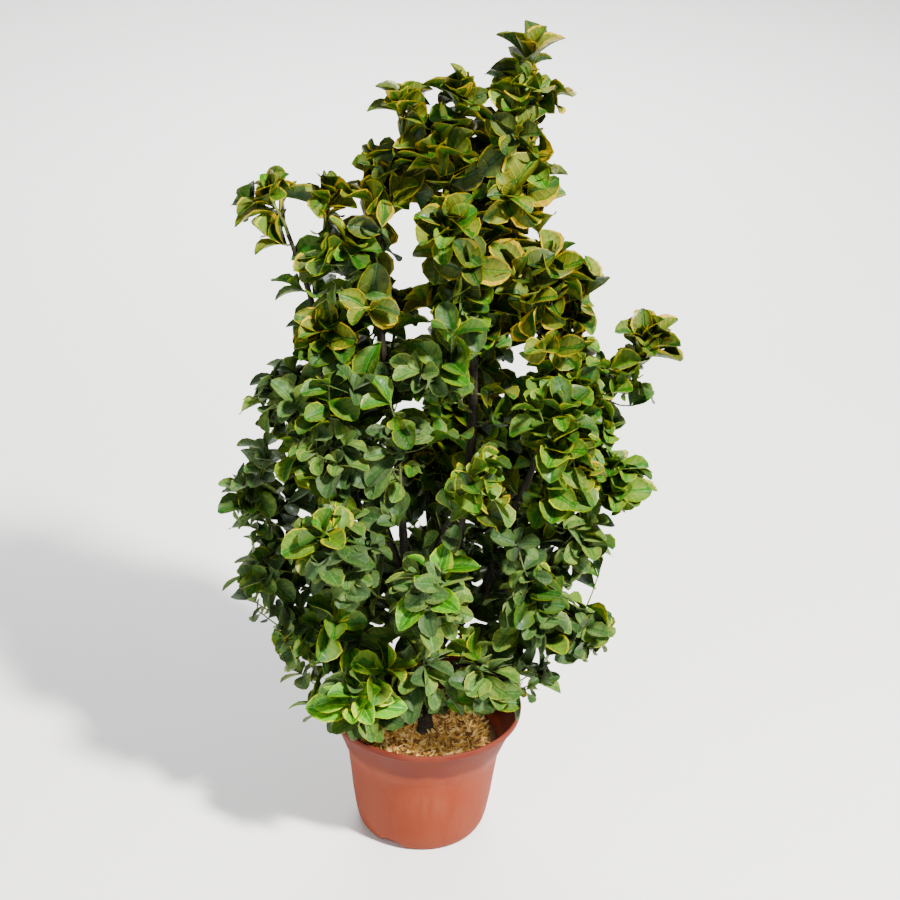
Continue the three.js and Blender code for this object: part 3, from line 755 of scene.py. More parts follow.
def gathered(parts, name, starts):
    """One array of every part, each raised by its part's start"""
    rows = [getattr(arrays, name) + start for (arrays, _, _), start in zip(parts, starts)]
    return np.concatenate(rows).astype(np.int32)


def joined(name, parts):
    """One mesh of many laid copies. Each part is its arrays, its points and its first material slot."""
    point_starts = starts_of([len(arrays.points) for arrays, _, _ in parts])
    edge_starts = starts_of([len(arrays.edges) for arrays, _, _ in parts])
    slot_starts = [first for _, _, first in parts]
    points = np.concatenate([laid for _, laid, _ in parts]).astype(np.float32)
    edges = gathered(parts, "edges", point_starts)
    corners = gathered(parts, "corner_points", point_starts)
    counts = gathered(parts, "corner_counts", [0] * len(parts))
    mesh = bpy.data.meshes.new(name)
    mesh.vertices.add(len(points))
    mesh.edges.add(len(edges))
    mesh.loops.add(len(corners))
    mesh.polygons.add(len(counts))
    mesh.vertices.foreach_set("co", points.ravel())
    mesh.edges.foreach_set("vertices", edges.ravel())
    mesh.loops.foreach_set("vertex_index", corners)
    mesh.loops.foreach_set("edge_index", gathered(parts, "corner_edges", edge_starts))
    mesh.polygons.foreach_set("loop_start", starts_of(counts).astype(np.int32))
    mesh.polygons.foreach_set("material_index", gathered(parts, "materials", slot_starts))
    sharp = mesh.attributes.new("sharp_edge", "BOOLEAN", "EDGE")
    sharp.data.foreach_set("value", np.concatenate([arrays.sharp for arrays, _, _ in parts]))
    if parts[0][0].uv is not None:
        layer = mesh.uv_layers.new(name="blade")
        layer.uv.foreach_set("vector", np.concatenate([arrays.uv for arrays, _, _ in parts]).ravel())
    mesh.update()
    mesh.validate()
    return mesh


def tube_template(sides, steps):
    """A closed unit tube along Z, ring by ring"""
    bm = bmesh.new()
    bmesh.ops.create_circle(bm, segments=sides, radius=1, cap_ends=True)
    rim = list(bm.edges)
    for _ in range(steps):
        grown = bmesh.ops.extrude_edge_only(bm, edges=rim)["geom"]
        ring = [item for item in grown if isinstance(item, bmesh.types.BMVert)]
        bmesh.ops.translate(bm, verts=ring, vec=UP)
        rim = [
            item for item in grown
            if isinstance(item, bmesh.types.BMEdge) and set(item.verts) <= set(ring)
        ]
    bmesh.ops.contextual_create(bm, geom=rim)
    bmesh.ops.recalc_face_normals(bm, faces=bm.faces)
    for cap in (face for face in bm.faces if len(face.verts) > 4):
        for edge in cap.edges:
            edge.smooth = False
    return Arrays(mesh_from(bm, "tube_template"))


def along(template, path, steps, radius_at, relief=None):
    """A tube template's points laid along a path"""
    beside = min(
        (Vector((1, 0, 0)), Vector((0, 1, 0)), UP),
        key=lambda axis: abs(axis.dot(path.at(1) - path.at(0))),
    )
    rings = []
    for step in range(steps + 1):
        share = step / steps
        ahead = path.way(share)
        side = beside.cross(ahead).normalized()
        rings.append((path.at(share), side, ahead.cross(side), radius_at(share)))
    laid = np.empty_like(template.points)
    for i, (x, y, z) in enumerate(template.points):
        step = round(float(z))
        centre, side, over, radius = rings[step]
        if relief:
            radius *= relief(step / steps, math.atan2(y, x))
        laid[i] = centre + side * float(x) * radius + over * float(y) * radius
    return laid


# The leaf

# How many shapes each family's leaves have, and how many tones, of which the last is the patched one

SHAPES = 8
TONES = 4

# What each tone makes of a colour's red, green and blue, the zones of a leaf in the order of their material
# slots, and the zones that take another's colour on a patched leaf

TONE_TINTS = ((0.42, 0.5, 0.55), (0.8, 0.84, 0.95), (1.2, 1.12, 0.75), (1.05, 1.0, 0.8))
ZONES = ("margin", "blade", "centre", "rib", "underside")
PATCHED_ZONES = {"blade": "margin", "centre": "blade"}

# A leaf's rows as shares of its length, its half width at each for a round and a pointed leaf, each shape's
# share of its family's margin, the rib's share of a half blade, and how far the back is sunk

STATIONS = (-0.08, 0.16, 0.4, 0.64, 0.83, 0.955, 1.0)
ROUNDED = (0.0, 0.125, 0.275, 0.335, 0.3, 0.17, 0.0)
POINTED = (0.0, 0.15, 0.29, 0.31, 0.215, 0.085, 0.0)
MARGIN_SHARES = (0.3, 1.0, 0.6, 2.3, 0.45, 1.2, 0.8, 1.7)
RIB = 0.03
THICKNESS = 0.012

# How wide the pale margin and the dark centre are, as shares of a half blade, how the blade is bent,
# how wide it is and how pointed

LeafForm = namedtuple("LeafForm", "margin centre fold cup droop width point")

LEAF_FORMS = {
    "golden": LeafForm(0.1, 0.62, 0.26, 1.3, 0.22, 0.98, 0.3),
    "green": LeafForm(0.055, 0.64, 0.24, 1.0, 0.2, 0.96, 0.2),
    "dusty": LeafForm(0.03, 0.66, 0.2, 0.7, 0.16, 0.92, 0.5),
    "young": LeafForm(0.14, 0.4, 0.24, 0.6, 0.24, 0.86, 1.1),
}


def blade_bend(form, random):
    """A leaf's own bend: where a place on the flat blade goes, from its station, half width and share"""
    fold = form.fold * (0.5 + random())
    cup = form.cup * (0.4 + 1.1 * random())
    droop = form.droop * (0.3 + 1.4 * random())
    width = form.width * (0.9 + 0.2 * random())
    twist, bow = (random() - 0.5) * 0.5, (random() - 0.5) * 0.07
    wave, phase = 0.01 + 0.018 * random(), random() * 6

    def blade_point(station, half, share):
        across = half * share * width
        lift = fold * abs(across) + cup * across * across - droop * max(station, 0) ** 2
        arch = 0.12 * station * (1 - station)
        lift += arch + wave * share * share * math.sin(station * 9 + phase + share)
        turn = twist * station
        return Vector((
            station - 0.3 * droop * max(station, 0) ** 3,
            across * math.cos(turn) + bow * math.sin(math.pi * max(station, 0)),
            lift + across * math.sin(turn),
        ))

    return blade_point


def zone_bounds(form, shape, random):
    """How far out the blade and its dark centre reach on each side, row by row"""
    share = MARGIN_SHARES[shape]
    drift = [random() * 6 for _ in range(4)]
    bounds = []
    for station in STATIONS:
        edges, cores = [], []
        for side in (0, 1):
            swing = 0.8 + 0.55 * math.sin(station * 5 + drift[side]) + 0.5 * station
            edge = 1 - form.margin * max(swing, 0.35) * share
            core = form.centre * (0.85 + 0.3 * math.sin(station * 7 + drift[side + 2]))
            core *= 1.1 - 0.25 * station
            edges.append(edge)
            cores.append(min(core, edge - 0.08))
        bounds.append((-1, -edges[0], -cores[0], -RIB, RIB, cores[1], edges[1], 1))
    return bounds


def leaf_template(form, shape):
    """A leaf of length 1 along X with its face to +Z: closed, with margin, blade, centre and rib strips"""
    random = seeded(SEEDS["leaf"] + 7 * shape)
    rows, columns = len(STATIONS) - 1, 7
    bm = bmesh.new()
    rim = bm.verts.layers.int.new("rim")
    bmesh.ops.create_grid(bm, x_segments=rows, y_segments=columns, size=1)
    grid = [[None] * (columns + 1) for _ in range(rows + 1)]
    for vert in bm.verts:
        row, column = round((vert.co.x + 1) / 2 * rows), round((vert.co.y + 1) / 2 * columns)
        grid[row][column] = vert
    for face in bm.faces:
        column = round((face.calc_center_median().y + 1) / 2 * columns - 0.5)
        face.material_index = (0, 1, 2, 3, 2, 1, 0)[column]
    blade_point = blade_bend(form, random)
    bounds = zone_bounds(form, shape, random)
    point = min(form.point * (0.5 + random()), 1)
    halves = [blunt + (fine - blunt) * point for blunt, fine in zip(ROUNDED, POINTED)]
    for line, station, half, shares in zip(grid, STATIONS, halves, bounds):
        for vert, share in zip(line, shares):
            vert.co = blade_point(station, half, share)
    add_underside(bm, grid, rows, columns)
    bmesh.ops.recalc_face_normals(bm, faces=bm.faces)
    for edge in bm.edges:
        edge.smooth = not (edge.verts[0][rim] and edge.verts[1][rim])
    layer = bm.loops.layers.uv.new("blade")
    for face in bm.faces:
        for loop in face.loops:
            loop[layer].uv = (loop.vert.co.x, loop.vert.co.y + 0.5)
    return Arrays(mesh_from(bm, "leaf_template"))


def add_underside(bm, grid, rows, columns):
    """Closes a leaf below with two margin strips and two strips of its back, each sunk a little"""
    base = drawn_together(bm, grid[0])
    tip = drawn_together(bm, grid[rows])
    rim = bm.verts.layers.int["rim"]
    for vert in [base, tip] + [grid[row][side] for row in range(1, rows) for side in (0, columns)]:
        vert[rim] = 1
    sink = UP * THICKNESS
    lines = [[base] for _ in range(5)]
    for row in range(1, rows):
        left, right = grid[row][0], grid[row][columns]
        inner = [grid[row][1].co - sink * 0.5, (grid[row][3].co + grid[row][4].co) / 2 - sink,
                 grid[row][columns - 1].co - sink * 0.5]
        for line, vert in zip(lines, (left, *map(bm.verts.new, inner), right)):
            line.append(vert)
    for line in lines:
        line.append(tip)
    for strip, (near, far) in enumerate(zip(lines, lines[1:])):
        for row in range(rows):
            ring = [near[row], far[row], far[row + 1], near[row + 1]]
            face = bm.faces.new(list(dict.fromkeys(ring)))
            face.material_index = 0 if strip in (0, 3) else 4


def drawn_together(bm, verts):
    """Draws a row of vertices together into one"""
    where = verts[0].co.copy()
    where.y = sum(vert.co.y for vert in verts) / len(verts)
    bmesh.ops.pointmerge(bm, verts=verts, merge_co=where)
    return verts[0]


def lay_leaf(template, leaf):
    frame_axes = np.array([leaf.way, leaf.side, leaf.face], float) * leaf.length
    return (template.points @ frame_axes + np.array(leaf.root, float)) * MM


# Shader helpers


def tint(code):
    """A colour's linear parts from its display code, such as b5573a"""
    parts = [int(code[i:i + 2], 16) / 255 for i in (0, 2, 4)]
    return tuple(c / 12.92 if c <= 0.04045 else ((c + 0.055) / 1.055) ** 2.4 for c in parts)


def node(tree, kind, **values):
    """A node with its settings and the values of its inputs"""
    made = tree.nodes.new(kind)
    for name, value in values.items():
        if name in made.inputs:
            made.inputs[name].default_value = value
        else:
            setattr(made, name, value)
    return made


def object_place(tree):
    return node(tree, "ShaderNodeTexCoord").outputs["Object"]


def noise_node(tree, vector, scale, detail):
    made = node(tree, "ShaderNodeTexNoise", Scale=scale, Detail=detail, Roughness=0.55)
    tree.links.new(vector, made.inputs["Vector"])
    return made.outputs["Fac"]


def drawn_out(tree, place, share):
    """A place with its height shrunk to a share, so that a pattern on it is drawn out upwards"""
    made = node(tree, "ShaderNodeMapping", Scale=(1, 1, share))
    tree.links.new(place, made.inputs["Vector"])
    return made.outputs[0]


def parted(tree, vector):
    """The three numbers of a vector"""
    made = node(tree, "ShaderNodeSeparateXYZ")
    tree.links.new(vector, made.inputs[0])
    return made.outputs


def spread(tree, value, low, high, to_low, to_high):
    """Maps a value from one range to another, held at its ends"""
    ranges = {"From Min": low, "From Max": high, "To Min": to_low, "To Max": to_high}
    made = node(tree, "ShaderNodeMapRange", **ranges)
    tree.links.new(value, made.inputs["Value"])
    return made.outputs["Result"]


def blend_colours(tree, mask, first, second):
    """Two colours, each a plain value or a socket, mixed by a mask"""
    made = node(tree, "ShaderNodeMix", data_type="RGBA")
    tree.links.new(mask, made.inputs["Factor"])
    for name, colour in (("A", first), ("B", second)):
        socket = next(s for s in made.inputs if s.name == name and s.type == "RGBA")
        if isinstance(colour, bpy.types.NodeSocket):
            tree.links.new(colour, socket)
        else:
            socket.default_value = (*colour, 1)
    return next(s for s in made.outputs if s.type == "RGBA")


def reckon(tree, operation, first, second=0):
    """One reckoning with two values, each a number or a socket"""
    made = node(tree, "ShaderNodeMath", operation=operation)
    for socket, value in zip(made.inputs, (first, second)):
        if isinstance(value, bpy.types.NodeSocket):
            tree.links.new(value, socket)
        else:
            socket.default_value = value
    return made.outputs[0]


def new_group(name, inputs, outputs):
    """A shader group with number inputs and outputs. Returns its tree and its two end nodes."""
    tree = bpy.data.node_groups.new(name, "ShaderNodeTree")
    for label, default in inputs:
        socket = tree.interface.new_socket(label, in_out="INPUT", socket_type="NodeSocketFloat")
        socket.default_value = default
    for label in outputs:
        tree.interface.new_socket(label, in_out="OUTPUT", socket_type="NodeSocketFloat")
    return tree, tree.nodes.new("NodeGroupInput"), tree.nodes.new("NodeGroupOutput")


# How steeply a leaf's side veins slant and how close they lie

VEINS = {"slant": 0.8, "density": 44}


def mottle_group():
    """Soft blotches and fine grain over a surface"""
    tree, given, put = new_group(
        "mottle", (("Blotch scale", 20.0), ("Grain scale", 400.0)), ("Blotches", "Grain"),
    )
    place = object_place(tree)
    for scale, detail, low, high, label in (
        ("Blotch scale", 4, 0.35, 0.65, "Blotches"), ("Grain scale", 2, 0.3, 0.7, "Grain"),
    ):
        made = node(tree, "ShaderNodeTexNoise", Detail=detail)
        tree.links.new(place, made.inputs["Vector"])
        tree.links.new(given.outputs[scale], made.inputs["Scale"])
        tree.links.new(spread(tree, made.outputs["Fac"], low, high, 0, 1), put.inputs[label])
    return tree


def vein_group():
    """A leaf's slanting side veins, the relief that they and the puckers between them make, and blotches"""
    tree, _, put = new_group("veins", (), ("Veins", "Relief", "Blotches"))
    station, across, _ = parted(tree, node(tree, "ShaderNodeUVMap", uv_map="blade").outputs["UV"])
    out = reckon(tree, "ABSOLUTE", reckon(tree, "SUBTRACT", across, 0.5))
    slant = reckon(tree, "SUBTRACT", station, reckon(tree, "MULTIPLY", out, VEINS["slant"]))
    wave = reckon(tree, "SINE", reckon(tree, "MULTIPLY", slant, VEINS["density"]))
    vein = spread(tree, wave, 0.55, 1.0, 0, 1)
    place = object_place(tree)
    pucker = reckon(tree, "MULTIPLY", noise_node(tree, place, 260, 2), 0.6)
    relief = reckon(tree, "SUBTRACT", pucker, reckon(tree, "MULTIPLY", vein, 0.5))
    blotches = spread(tree, noise_node(tree, place, 110, 4), 0.38, 0.66, 0, 1)
    tree.links.new(vein, put.inputs["Veins"])
    tree.links.new(relief, put.inputs["Relief"])
    tree.links.new(blotches, put.inputs["Blotches"])
    return tree


def bark_group():
    """Long fissures and small pale pores along a limb"""
    tree, given, put = new_group("bark", (("Fissure scale", 60.0),), ("Fissures", "Pores"))
    place = object_place(tree)
    rough = node(tree, "ShaderNodeTexNoise", Detail=5)
    tree.links.new(drawn_out(tree, place, 0.16), rough.inputs["Vector"])
    tree.links.new(given.outputs["Fissure scale"], rough.inputs["Scale"])
    pores = node(tree, "ShaderNodeTexVoronoi", Scale=260)
    tree.links.new(place, pores.inputs["Vector"])
    tree.links.new(spread(tree, rough.outputs["Fac"], 0.36, 0.64, 0, 1), put.inputs["Fissures"])
    tree.links.new(spread(tree, pores.outputs["Distance"], 0.12, 0.3, 1, 0), put.inputs["Pores"])
    return tree


def shared_group(name):
    makers = {"mottle": mottle_group, "veins": vein_group, "bark": bark_group}
    return bpy.data.node_groups.get(name) or makers[name]()


def use_group(tree, name, **values):
    made = tree.nodes.new("ShaderNodeGroup")
    made.node_tree = shared_group(name)
    for label, value in values.items():
        made.inputs[label.replace("_", " ").capitalize()].default_value = value
    return made


def new_material(name, colour, roughness, specular=0.5):
    """A material with its shader and its plain colour and roughness"""
    material = bpy.data.materials.new(name)
    material.use_nodes = True
    shader = material.node_tree.nodes["Principled BSDF"]
    shader.inputs["Base Color"].default_value = (*colour, 1)
    shader.inputs["Roughness"].default_value = roughness
    shader.inputs["Specular IOR Level"].default_value = specular
    return material, material.node_tree, shader


def finish_shader(tree, shader, colour, roughness, relief, distance, strength=1.0):
    """Gives a shader its colour, its roughness and a relief of so many metres"""
    bump = node(tree, "ShaderNodeBump", Distance=distance, Strength=strength)
    tree.links.new(relief, bump.inputs["Height"])
    normal = bump.outputs["Normal"]
    for name, value in (("Base Color", colour), ("Roughness", roughness), ("Normal", normal)):
        tree.links.new(value, shader.inputs[name])


# Finishes


def pot_material(settings):
    """Terracotta-coloured plastic: a darker collar with a soft lower edge, dusty blotches, painted shading
    that makes the foot paler and greyer, and streaks
    """
    material, tree, shader = new_material("terracotta_plastic", settings.body_colour, 0.6, 0.1)
    mottle = use_group(tree, "mottle", blotch_scale=16.0, grain_scale=700.0)
    place = object_place(tree)
    height = parted(tree, place)[2]
    waver = reckon(tree, "MULTIPLY", noise_node(tree, place, 24, 4), 0.022)
    edge = POT["collar_foot"] * MM + 0.011
    collar = spread(tree, reckon(tree, "ADD", height, waver), edge - 0.006, edge + 0.003, 0, 1)
    streaks = spread(tree, noise_node(tree, drawn_out(tree, place, 0.12), 60, 3), 0.52, 0.74, 0, 0.6)
    # Painted shading: the lowest 5 cm of the body turn paler and greyer, towards the faded colour
    low = spread(tree, height, 0.0, 0.05, 0.55, 0.0)
    # This mask holds both the random dusty blotches and the painted shading at the foot, and makes both
    # rougher
    dust = reckon(tree, "MAXIMUM", mottle.outputs["Blotches"], low)
    body = blend_colours(tree, dust, settings.body_colour, settings.faded_and_painted_shading_colour)
    body = blend_colours(tree, streaks, body, settings.streak_colour)
    upper = blend_colours(tree, mottle.outputs["Blotches"], settings.collar_colour, settings.collar_faded)
    colour = blend_colours(tree, collar, body, upper)
    roughness = spread(tree, dust, 0, 1, 0.5, 0.7)
    finish_shader(tree, shader, colour, roughness, mottle.outputs["Grain"], 0.0002, 0.35)
    return material


def mulch_material(name, colour, dark):
    """Dry wood shavings with dark grain"""
    material, tree, shader = new_material(name, colour, 0.85, 0.2)
    mottle = use_group(tree, "mottle", blotch_scale=90.0, grain_scale=900.0)
    grain = mottle.outputs["Grain"]
    stain = reckon(tree, "MULTIPLY", mottle.outputs["Blotches"], 0.55)
    stained = blend_colours(tree, stain, colour, dark)
    finish_shader(tree, shader, stained, spread(tree, grain, 0, 1, 0.75, 0.95), grain, 0.0004)
    return material


def bark_material(name, colour, dark, pore, fissure_scale):
    material, tree, shader = new_material(name, colour, 0.8, 0.25)
    bark = use_group(tree, "bark", fissure_scale=fissure_scale)
    fissures = bark.outputs["Fissures"]
    mixed = blend_colours(tree, fissures, dark, colour)
    mixed = blend_colours(tree, reckon(tree, "MULTIPLY", bark.outputs["Pores"], 0.5), mixed, pore)
    finish_shader(tree, shader, mixed, spread(tree, fissures, 0, 1, 0.9, 0.65), fissures, 0.0008)
    return material


def leaf_material(family, zone, tone, colour, gloss, dust):
    """One strip of a leaf in one tone of its family"""
    shade = tuple(min(part * share, 1) for part, share in zip(colour, TONE_TINTS[tone]))
    material, tree, shader = new_material(f"{family}_{zone}_{tone}", shade, gloss, 0.26)
    shader.inputs["Sheen Weight"].default_value = dust
    shader.inputs["Sheen Roughness"].default_value = 0.5
    shader.inputs["Sheen Tint"].default_value = (0.85, 0.9, 0.75, 1)
    veins = use_group(tree, "veins")
    blotches = veins.outputs["Blotches"]
    blotched = blend_colours(tree, blotches, shade, tuple(part * 0.66 for part in shade))
    pale = tuple(min(part * 1.35, 1) for part in shade)
    veined = blend_colours(tree, reckon(tree, "MULTIPLY", veins.outputs["Veins"], 0.5), blotched, pale)
    low, high = (gloss, gloss + 0.3) if zone != "underside" else (0.6, 0.8)
    roughness = spread(tree, blotches, 0, 1, low, high)
    finish_shader(tree, shader, veined, roughness, veins.outputs["Relief"], 0.0006, 0.8)
    return material


def leaf_materials(family, tints):
    """A family's materials, tone by tone. In the last tone the margin's yellow runs in over the blade."""
    made = []
    for tone in range(TONES):
        colours = PATCHED_ZONES if tone == TONES - 1 else {}
        for zone in ZONES:
            colour = getattr(tints, colours.get(zone, zone))
            made.append(leaf_material(family, zone, tone, colour, tints.gloss, tints.dust))
    return made


# Settings


def colour_setting(label, hint, code):
    return bpy.props.FloatVectorProperty(
        name=label, description=hint, subtype="COLOR", size=3, min=0, max=1, default=tint(code),
    )


def length_setting(label, hint, default):
    return bpy.props.FloatProperty(name=label, description=hint, unit="LENGTH", min=0, default=default)


def count_setting(label, hint, lowest, default):
    return bpy.props.IntProperty(name=label, description=hint, min=lowest, default=default)


def share_setting(label, hint, default):
    return bpy.props.FloatProperty(name=label, description=hint, min=0, max=1, default=default)


class PotSettings(bpy.types.PropertyGroup):
    """The pot's finish"""

    body_colour: colour_setting("Body", "Colour of the pot's body", "772d14")
    # The faded body colour serves both the dusty blotches and the painted shading at the foot
    faded_and_painted_shading_colour: colour_setting("Faded body", "Colour of the body's dusty blotches", "7b3a25")
    streak_colour: colour_setting("Streaks", "Colour of the clean streaks down the body", "70260f")
    collar_colour: colour_setting("Collar", "Colour of the collar", "581f14")
    collar_faded: colour_setting("Faded collar", "Colour of the collar's faded blotches", "622c1d")
    spokes: count_setting("Steps round", "Faces round the pot", 24, 96)


class MulchSettings(bpy.types.PropertyGroup):
    """The chips on the pot's filling"""

    chip_count: count_setting("Chips", "Number of loose chips", 0, 1250)
    chip_length: length_setting("Chip length", "Length of a middling chip", 0.026)
    pale: colour_setting("Pale chips", "Colour of the dry pale chips", "d8b470")
    golden: colour_setting("Golden chips", "Colour of most chips", "ba8c3c")
    brown: colour_setting("Brown chips", "Colour of the damp chips", "7a5226")
    bed: colour_setting("Bed", "Colour of the filling between the chips", "4a3420")


class BarkSettings(bpy.types.PropertyGroup):
    """The bark of trunk, stems and boughs"""

    old: colour_setting("Old bark", "Colour of the trunk and stems", "2e2a1e")
    fissure: colour_setting("Fissures", "Colour deep in the bark", "1c1812")
    pore: colour_setting("Pores", "Colour of the small pale pores", "5e5646")
    young: colour_setting("Young bark", "Colour of the green twigs", "6b7a3c")
    young_dark: colour_setting("Young bark, dark", "Colour of the green twigs' shaded side", "44512a")


class LeafTints(bpy.types.PropertyGroup):
    """The colours of one family of leaves"""

    margin: colour_setting("Margin", "Colour of the leaf's edge", "c8a436")
    blade: colour_setting("Blade", "Colour between edge and centre", "6f8a34")
    centre: colour_setting("Centre", "Colour of the leaf's dark middle", "3f5a25")
    rib: colour_setting("Rib", "Colour of the middle rib", "8c9c52")
    underside: colour_setting("Underside", "Colour of the leaf's back", "6e7d3c")
    gloss: share_setting("Gloss", "Lowest roughness", 0.36)
    dust: share_setting("Dust", "Weight of the pale dust", 0)


class StageSettings(bpy.types.PropertyGroup):
    """Camera, light and floor"""

    camera_height: length_setting("Camera height", "Height of the camera over the ground", EYE[2] * MM)
    camera_distance: length_setting("Camera distance", "How far in front of the pot it is", -EYE[1] * MM)
    lens: bpy.props.FloatProperty(name="Lens", description="Focal length", min=10, default=71.2)
    floor_colour: colour_setting("Floor", "Colour of the floor", "f4f4f2")


# Each family's colours, zone by zone, its gloss and its dust

TINT_CODES = {
    "golden": ("a48e00", "445e00", "224a06", "507020", "56620c", 0.34, 0.0),
    "green": ("949400", "486e06", "245a06", "4c7822", "4c6a16", 0.32, 0.0),
    "dusty": ("8a9038", "4a661e", "345a18", "5a783c", "56702c", 0.44, 0.08),
    "young": ("9cb400", "549400", "2c6c04", "689a12", "5c900e", 0.34, 0.0),
}

# Operators


def pot_profile():
    """The wall's outline in section, out and up from the middle of the underside and back down inside"""
    wall = POT["wall"]
    inner = [(radius - wall, level) for radius, level in reversed(POT_OUTLINE) if level > POT["floor"]]
    lowest = inner[-1][0]
    return [(0, 0), *POT_OUTLINE, *POT_LIP, *inner, (lowest - 2, POT["floor"]), (0, POT["floor"])]


def spun(profile, steps):
    """A profile of radii and heights spun into a closed round body, in metres"""
    bm = bmesh.new()
    verts = [bm.verts.new((radius * MM, 0, level * MM)) for radius, level in profile]
    edges = [bm.edges.new(pair) for pair in zip(verts, verts[1:])]
    bmesh.ops.spin(
        bm, geom=verts + edges, cent=(0, 0, 0), axis=(0, 0, 1), angle=math.tau, steps=steps,
        use_merge=True, use_duplicate=False,
    )
    bmesh.ops.remove_doubles(bm, verts=bm.verts, dist=1e-6)
    bmesh.ops.recalc_face_normals(bm, faces=bm.faces)
    return bm


def notch_cutter():
    """The arches that are cut as drainage notches out of the pot's foot"""
    bm = bmesh.new()
    lying = Matrix.Rotation(math.radians(90), 4, "Y")
    for i in range(NOTCH["count"]):
        turn = Matrix.Rotation(math.radians(NOTCH["first_turn"] + i * 360 / NOTCH["count"]), 4, "Z")
        size = Matrix.Diagonal((NOTCH["depth"] * MM, NOTCH["width"] / 2 * MM, NOTCH["height"] * MM, 1))
        away = Matrix.Translation((NOTCH["radius"] * MM, 0, 0))
        bmesh.ops.create_cone(
            bm, cap_ends=True, segments=28, radius1=1, radius2=1, depth=2,
            matrix=turn @ away @ size @ lying,
        )
    return mesh_from(bm, "notch_cutter")


def cut(piece, cutter_mesh):
    """Cuts one mesh out of a piece and keeps the result as the piece's own mesh"""
    cutter = put_in_scene("cutter", cutter_mesh)
    modifier = piece.modifiers.new("notches", "BOOLEAN")
    modifier.operation = "DIFFERENCE"
    modifier.solver = "EXACT"
    modifier.object = cutter
    graph = bpy.context.evaluated_depsgraph_get()
    result = bpy.data.meshes.new_from_object(piece.evaluated_get(graph))
    result.name = piece.name
    piece.modifiers.clear()
    piece.data = result
    bpy.data.objects.remove(cutter)


class SHRUB_OT_pot(bpy.types.Operator):
    """Builds the pot"""

    bl_idname = "shrub.pot"
    bl_label = "Pot"

    def execute(self, context):
        settings = context.scene.shrub_pot
        bm = spun(pot_profile(), settings.spokes)
        sharp_angle = math.radians(50)
        for edge in bm.edges:
            edge.smooth = edge.calc_face_angle(0) < sharp_angle
        piece = add_piece(mesh_from(bm, "pot_shell"), [pot_material(settings)], ["pot"])
        cut(piece, notch_cutter())
        return {"FINISHED"}


# How far the filling lies under its top in the middle, how much lower by the wall and how much more on the
# right, and how far the chips keep from the wall, there too

MOUND = {"sunk": 3, "dome": 6, "dip": 12, "clear": 3, "clear_right": 7}


def mulch_height(x, y):
    """The height of the filling at a place, in millimetres: domed, and lower by the wall on the right"""
    out = math.hypot(x, y) / MULCH["radius"]
    dip = MOUND["dip"] * max(x / MULCH["radius"], 0) ** 3 * out
    lumps = 3.2 * noise.noise(Vector((x, y, 0)) * 0.03) + 1.6 * noise.noise(Vector((x, y, 9)) * 0.09)
    return MULCH["top"] - MOUND["sunk"] - MOUND["dome"] * out ** 2 - dip + lumps


def mulch_bed():
    """The filling's surface, closed below"""
    foot_radius, foot = MULCH["foot"]
    rings = [(MULCH["radius"] * i / 12, MULCH["top"]) for i in range(13)]
    bm = spun([*rings, (foot_radius, foot), (0, foot)], 48)
    for vert in bm.verts:
        if vert.co.z > (foot + 1) * MM:
            vert.co.z = mulch_height(vert.co.x / MM, vert.co.y / MM) * MM
    return mesh_from(bm, "mulch_bed")


def chip_template(curl, width):
    """A curled shaving of length 1 along X"""
    bm = bmesh.new()
    bmesh.ops.create_grid(bm, x_segments=4, y_segments=1, size=0.5)
    for vert in bm.verts:
        share = vert.co.x * 2
        vert.co.y *= width * (1 - 0.5 * share * share)
        vert.co.z = curl * share * share + 0.12 * vert.co.y * share
    bmesh.ops.solidify(bm, geom=bm.faces[:], thickness=0.05)
    bmesh.ops.recalc_face_normals(bm, faces=bm.faces)
    return Arrays(mesh_from(bm, "chip_template"))


def chip_parts(settings):
    """Where each chip lies: a seeded scatter over the filling"""
    random = seeded(SEEDS["chips"])
    forms = ((0.14, 0.2), (-0.2, 0.15), (0.3, 0.17), (0.05, 0.4), (0.22, 0.12))
    templates = [chip_template(curl, width) for curl, width in forms]
    parts = []
    for i in range(settings.chip_count):
        turn = i * GOLDEN_ANGLE
        length = settings.chip_length / MM * (0.5 + 0.9 * random())
        edge = MULCH["radius"] - MOUND["clear"] - length / 2
        edge -= MOUND["clear_right"] * max(math.cos(turn), 0)
        out = edge * math.sqrt((i + 0.5) / settings.chip_count)
        x, y = out * math.cos(turn), out * math.sin(turn)
        lie = Matrix.Rotation(random() * math.tau, 3, "Z") @ Matrix.Rotation((random() - 0.5) * 0.9, 3, "Y")
        lie = lie @ Matrix.Rotation((random() - 0.5) * 1.4, 3, "X")
        place = Vector((x, y, mulch_height(x, y) + 0.5 + 2.6 * random()))
        template = templates[int(random() * len(templates))]
        laid = (template.points @ np.array(lie.transposed()) * length + np.array(place)) * MM
        parts.append((template, laid, int(random() ** 1.3 * 3)))
    return parts


class SHRUB_OT_mulch(bpy.types.Operator):
    """Builds the filling and its chips"""

    bl_idname = "shrub.mulch"
    bl_label = "Mulch"

    def execute(self, context):
        settings = context.scene.shrub_mulch
        bed = mulch_material("mulch_bed", settings.bed, settings.brown)
        add_piece(mulch_bed(), [bed], ["mulch"])
        chips = [
            mulch_material("chips_golden", settings.golden, settings.brown),
            mulch_material("chips_pale", settings.pale, settings.golden),
            mulch_material("chips_brown", settings.brown, settings.bed),
        ]
        add_piece(joined("mulch_chips", chip_parts(settings)), chips, ["mulch"], smooth=False)
        return {"FINISHED"}


# The sides of a limb and a twig, how far apart a limb's rings are, and how many steps a twig has

LIMB_SIDES = 12
TWIG_SIDES = 5
RING_SPACING = 6
TWIG_STEPS = 7

# How much a limb's radius varies: broad and fine lumps, knots, and the collar at its parent

RELIEF = {"broad": 0.1, "fine": 0.05, "knot": 0.09, "collar": 0.35, "collar_length": 9}


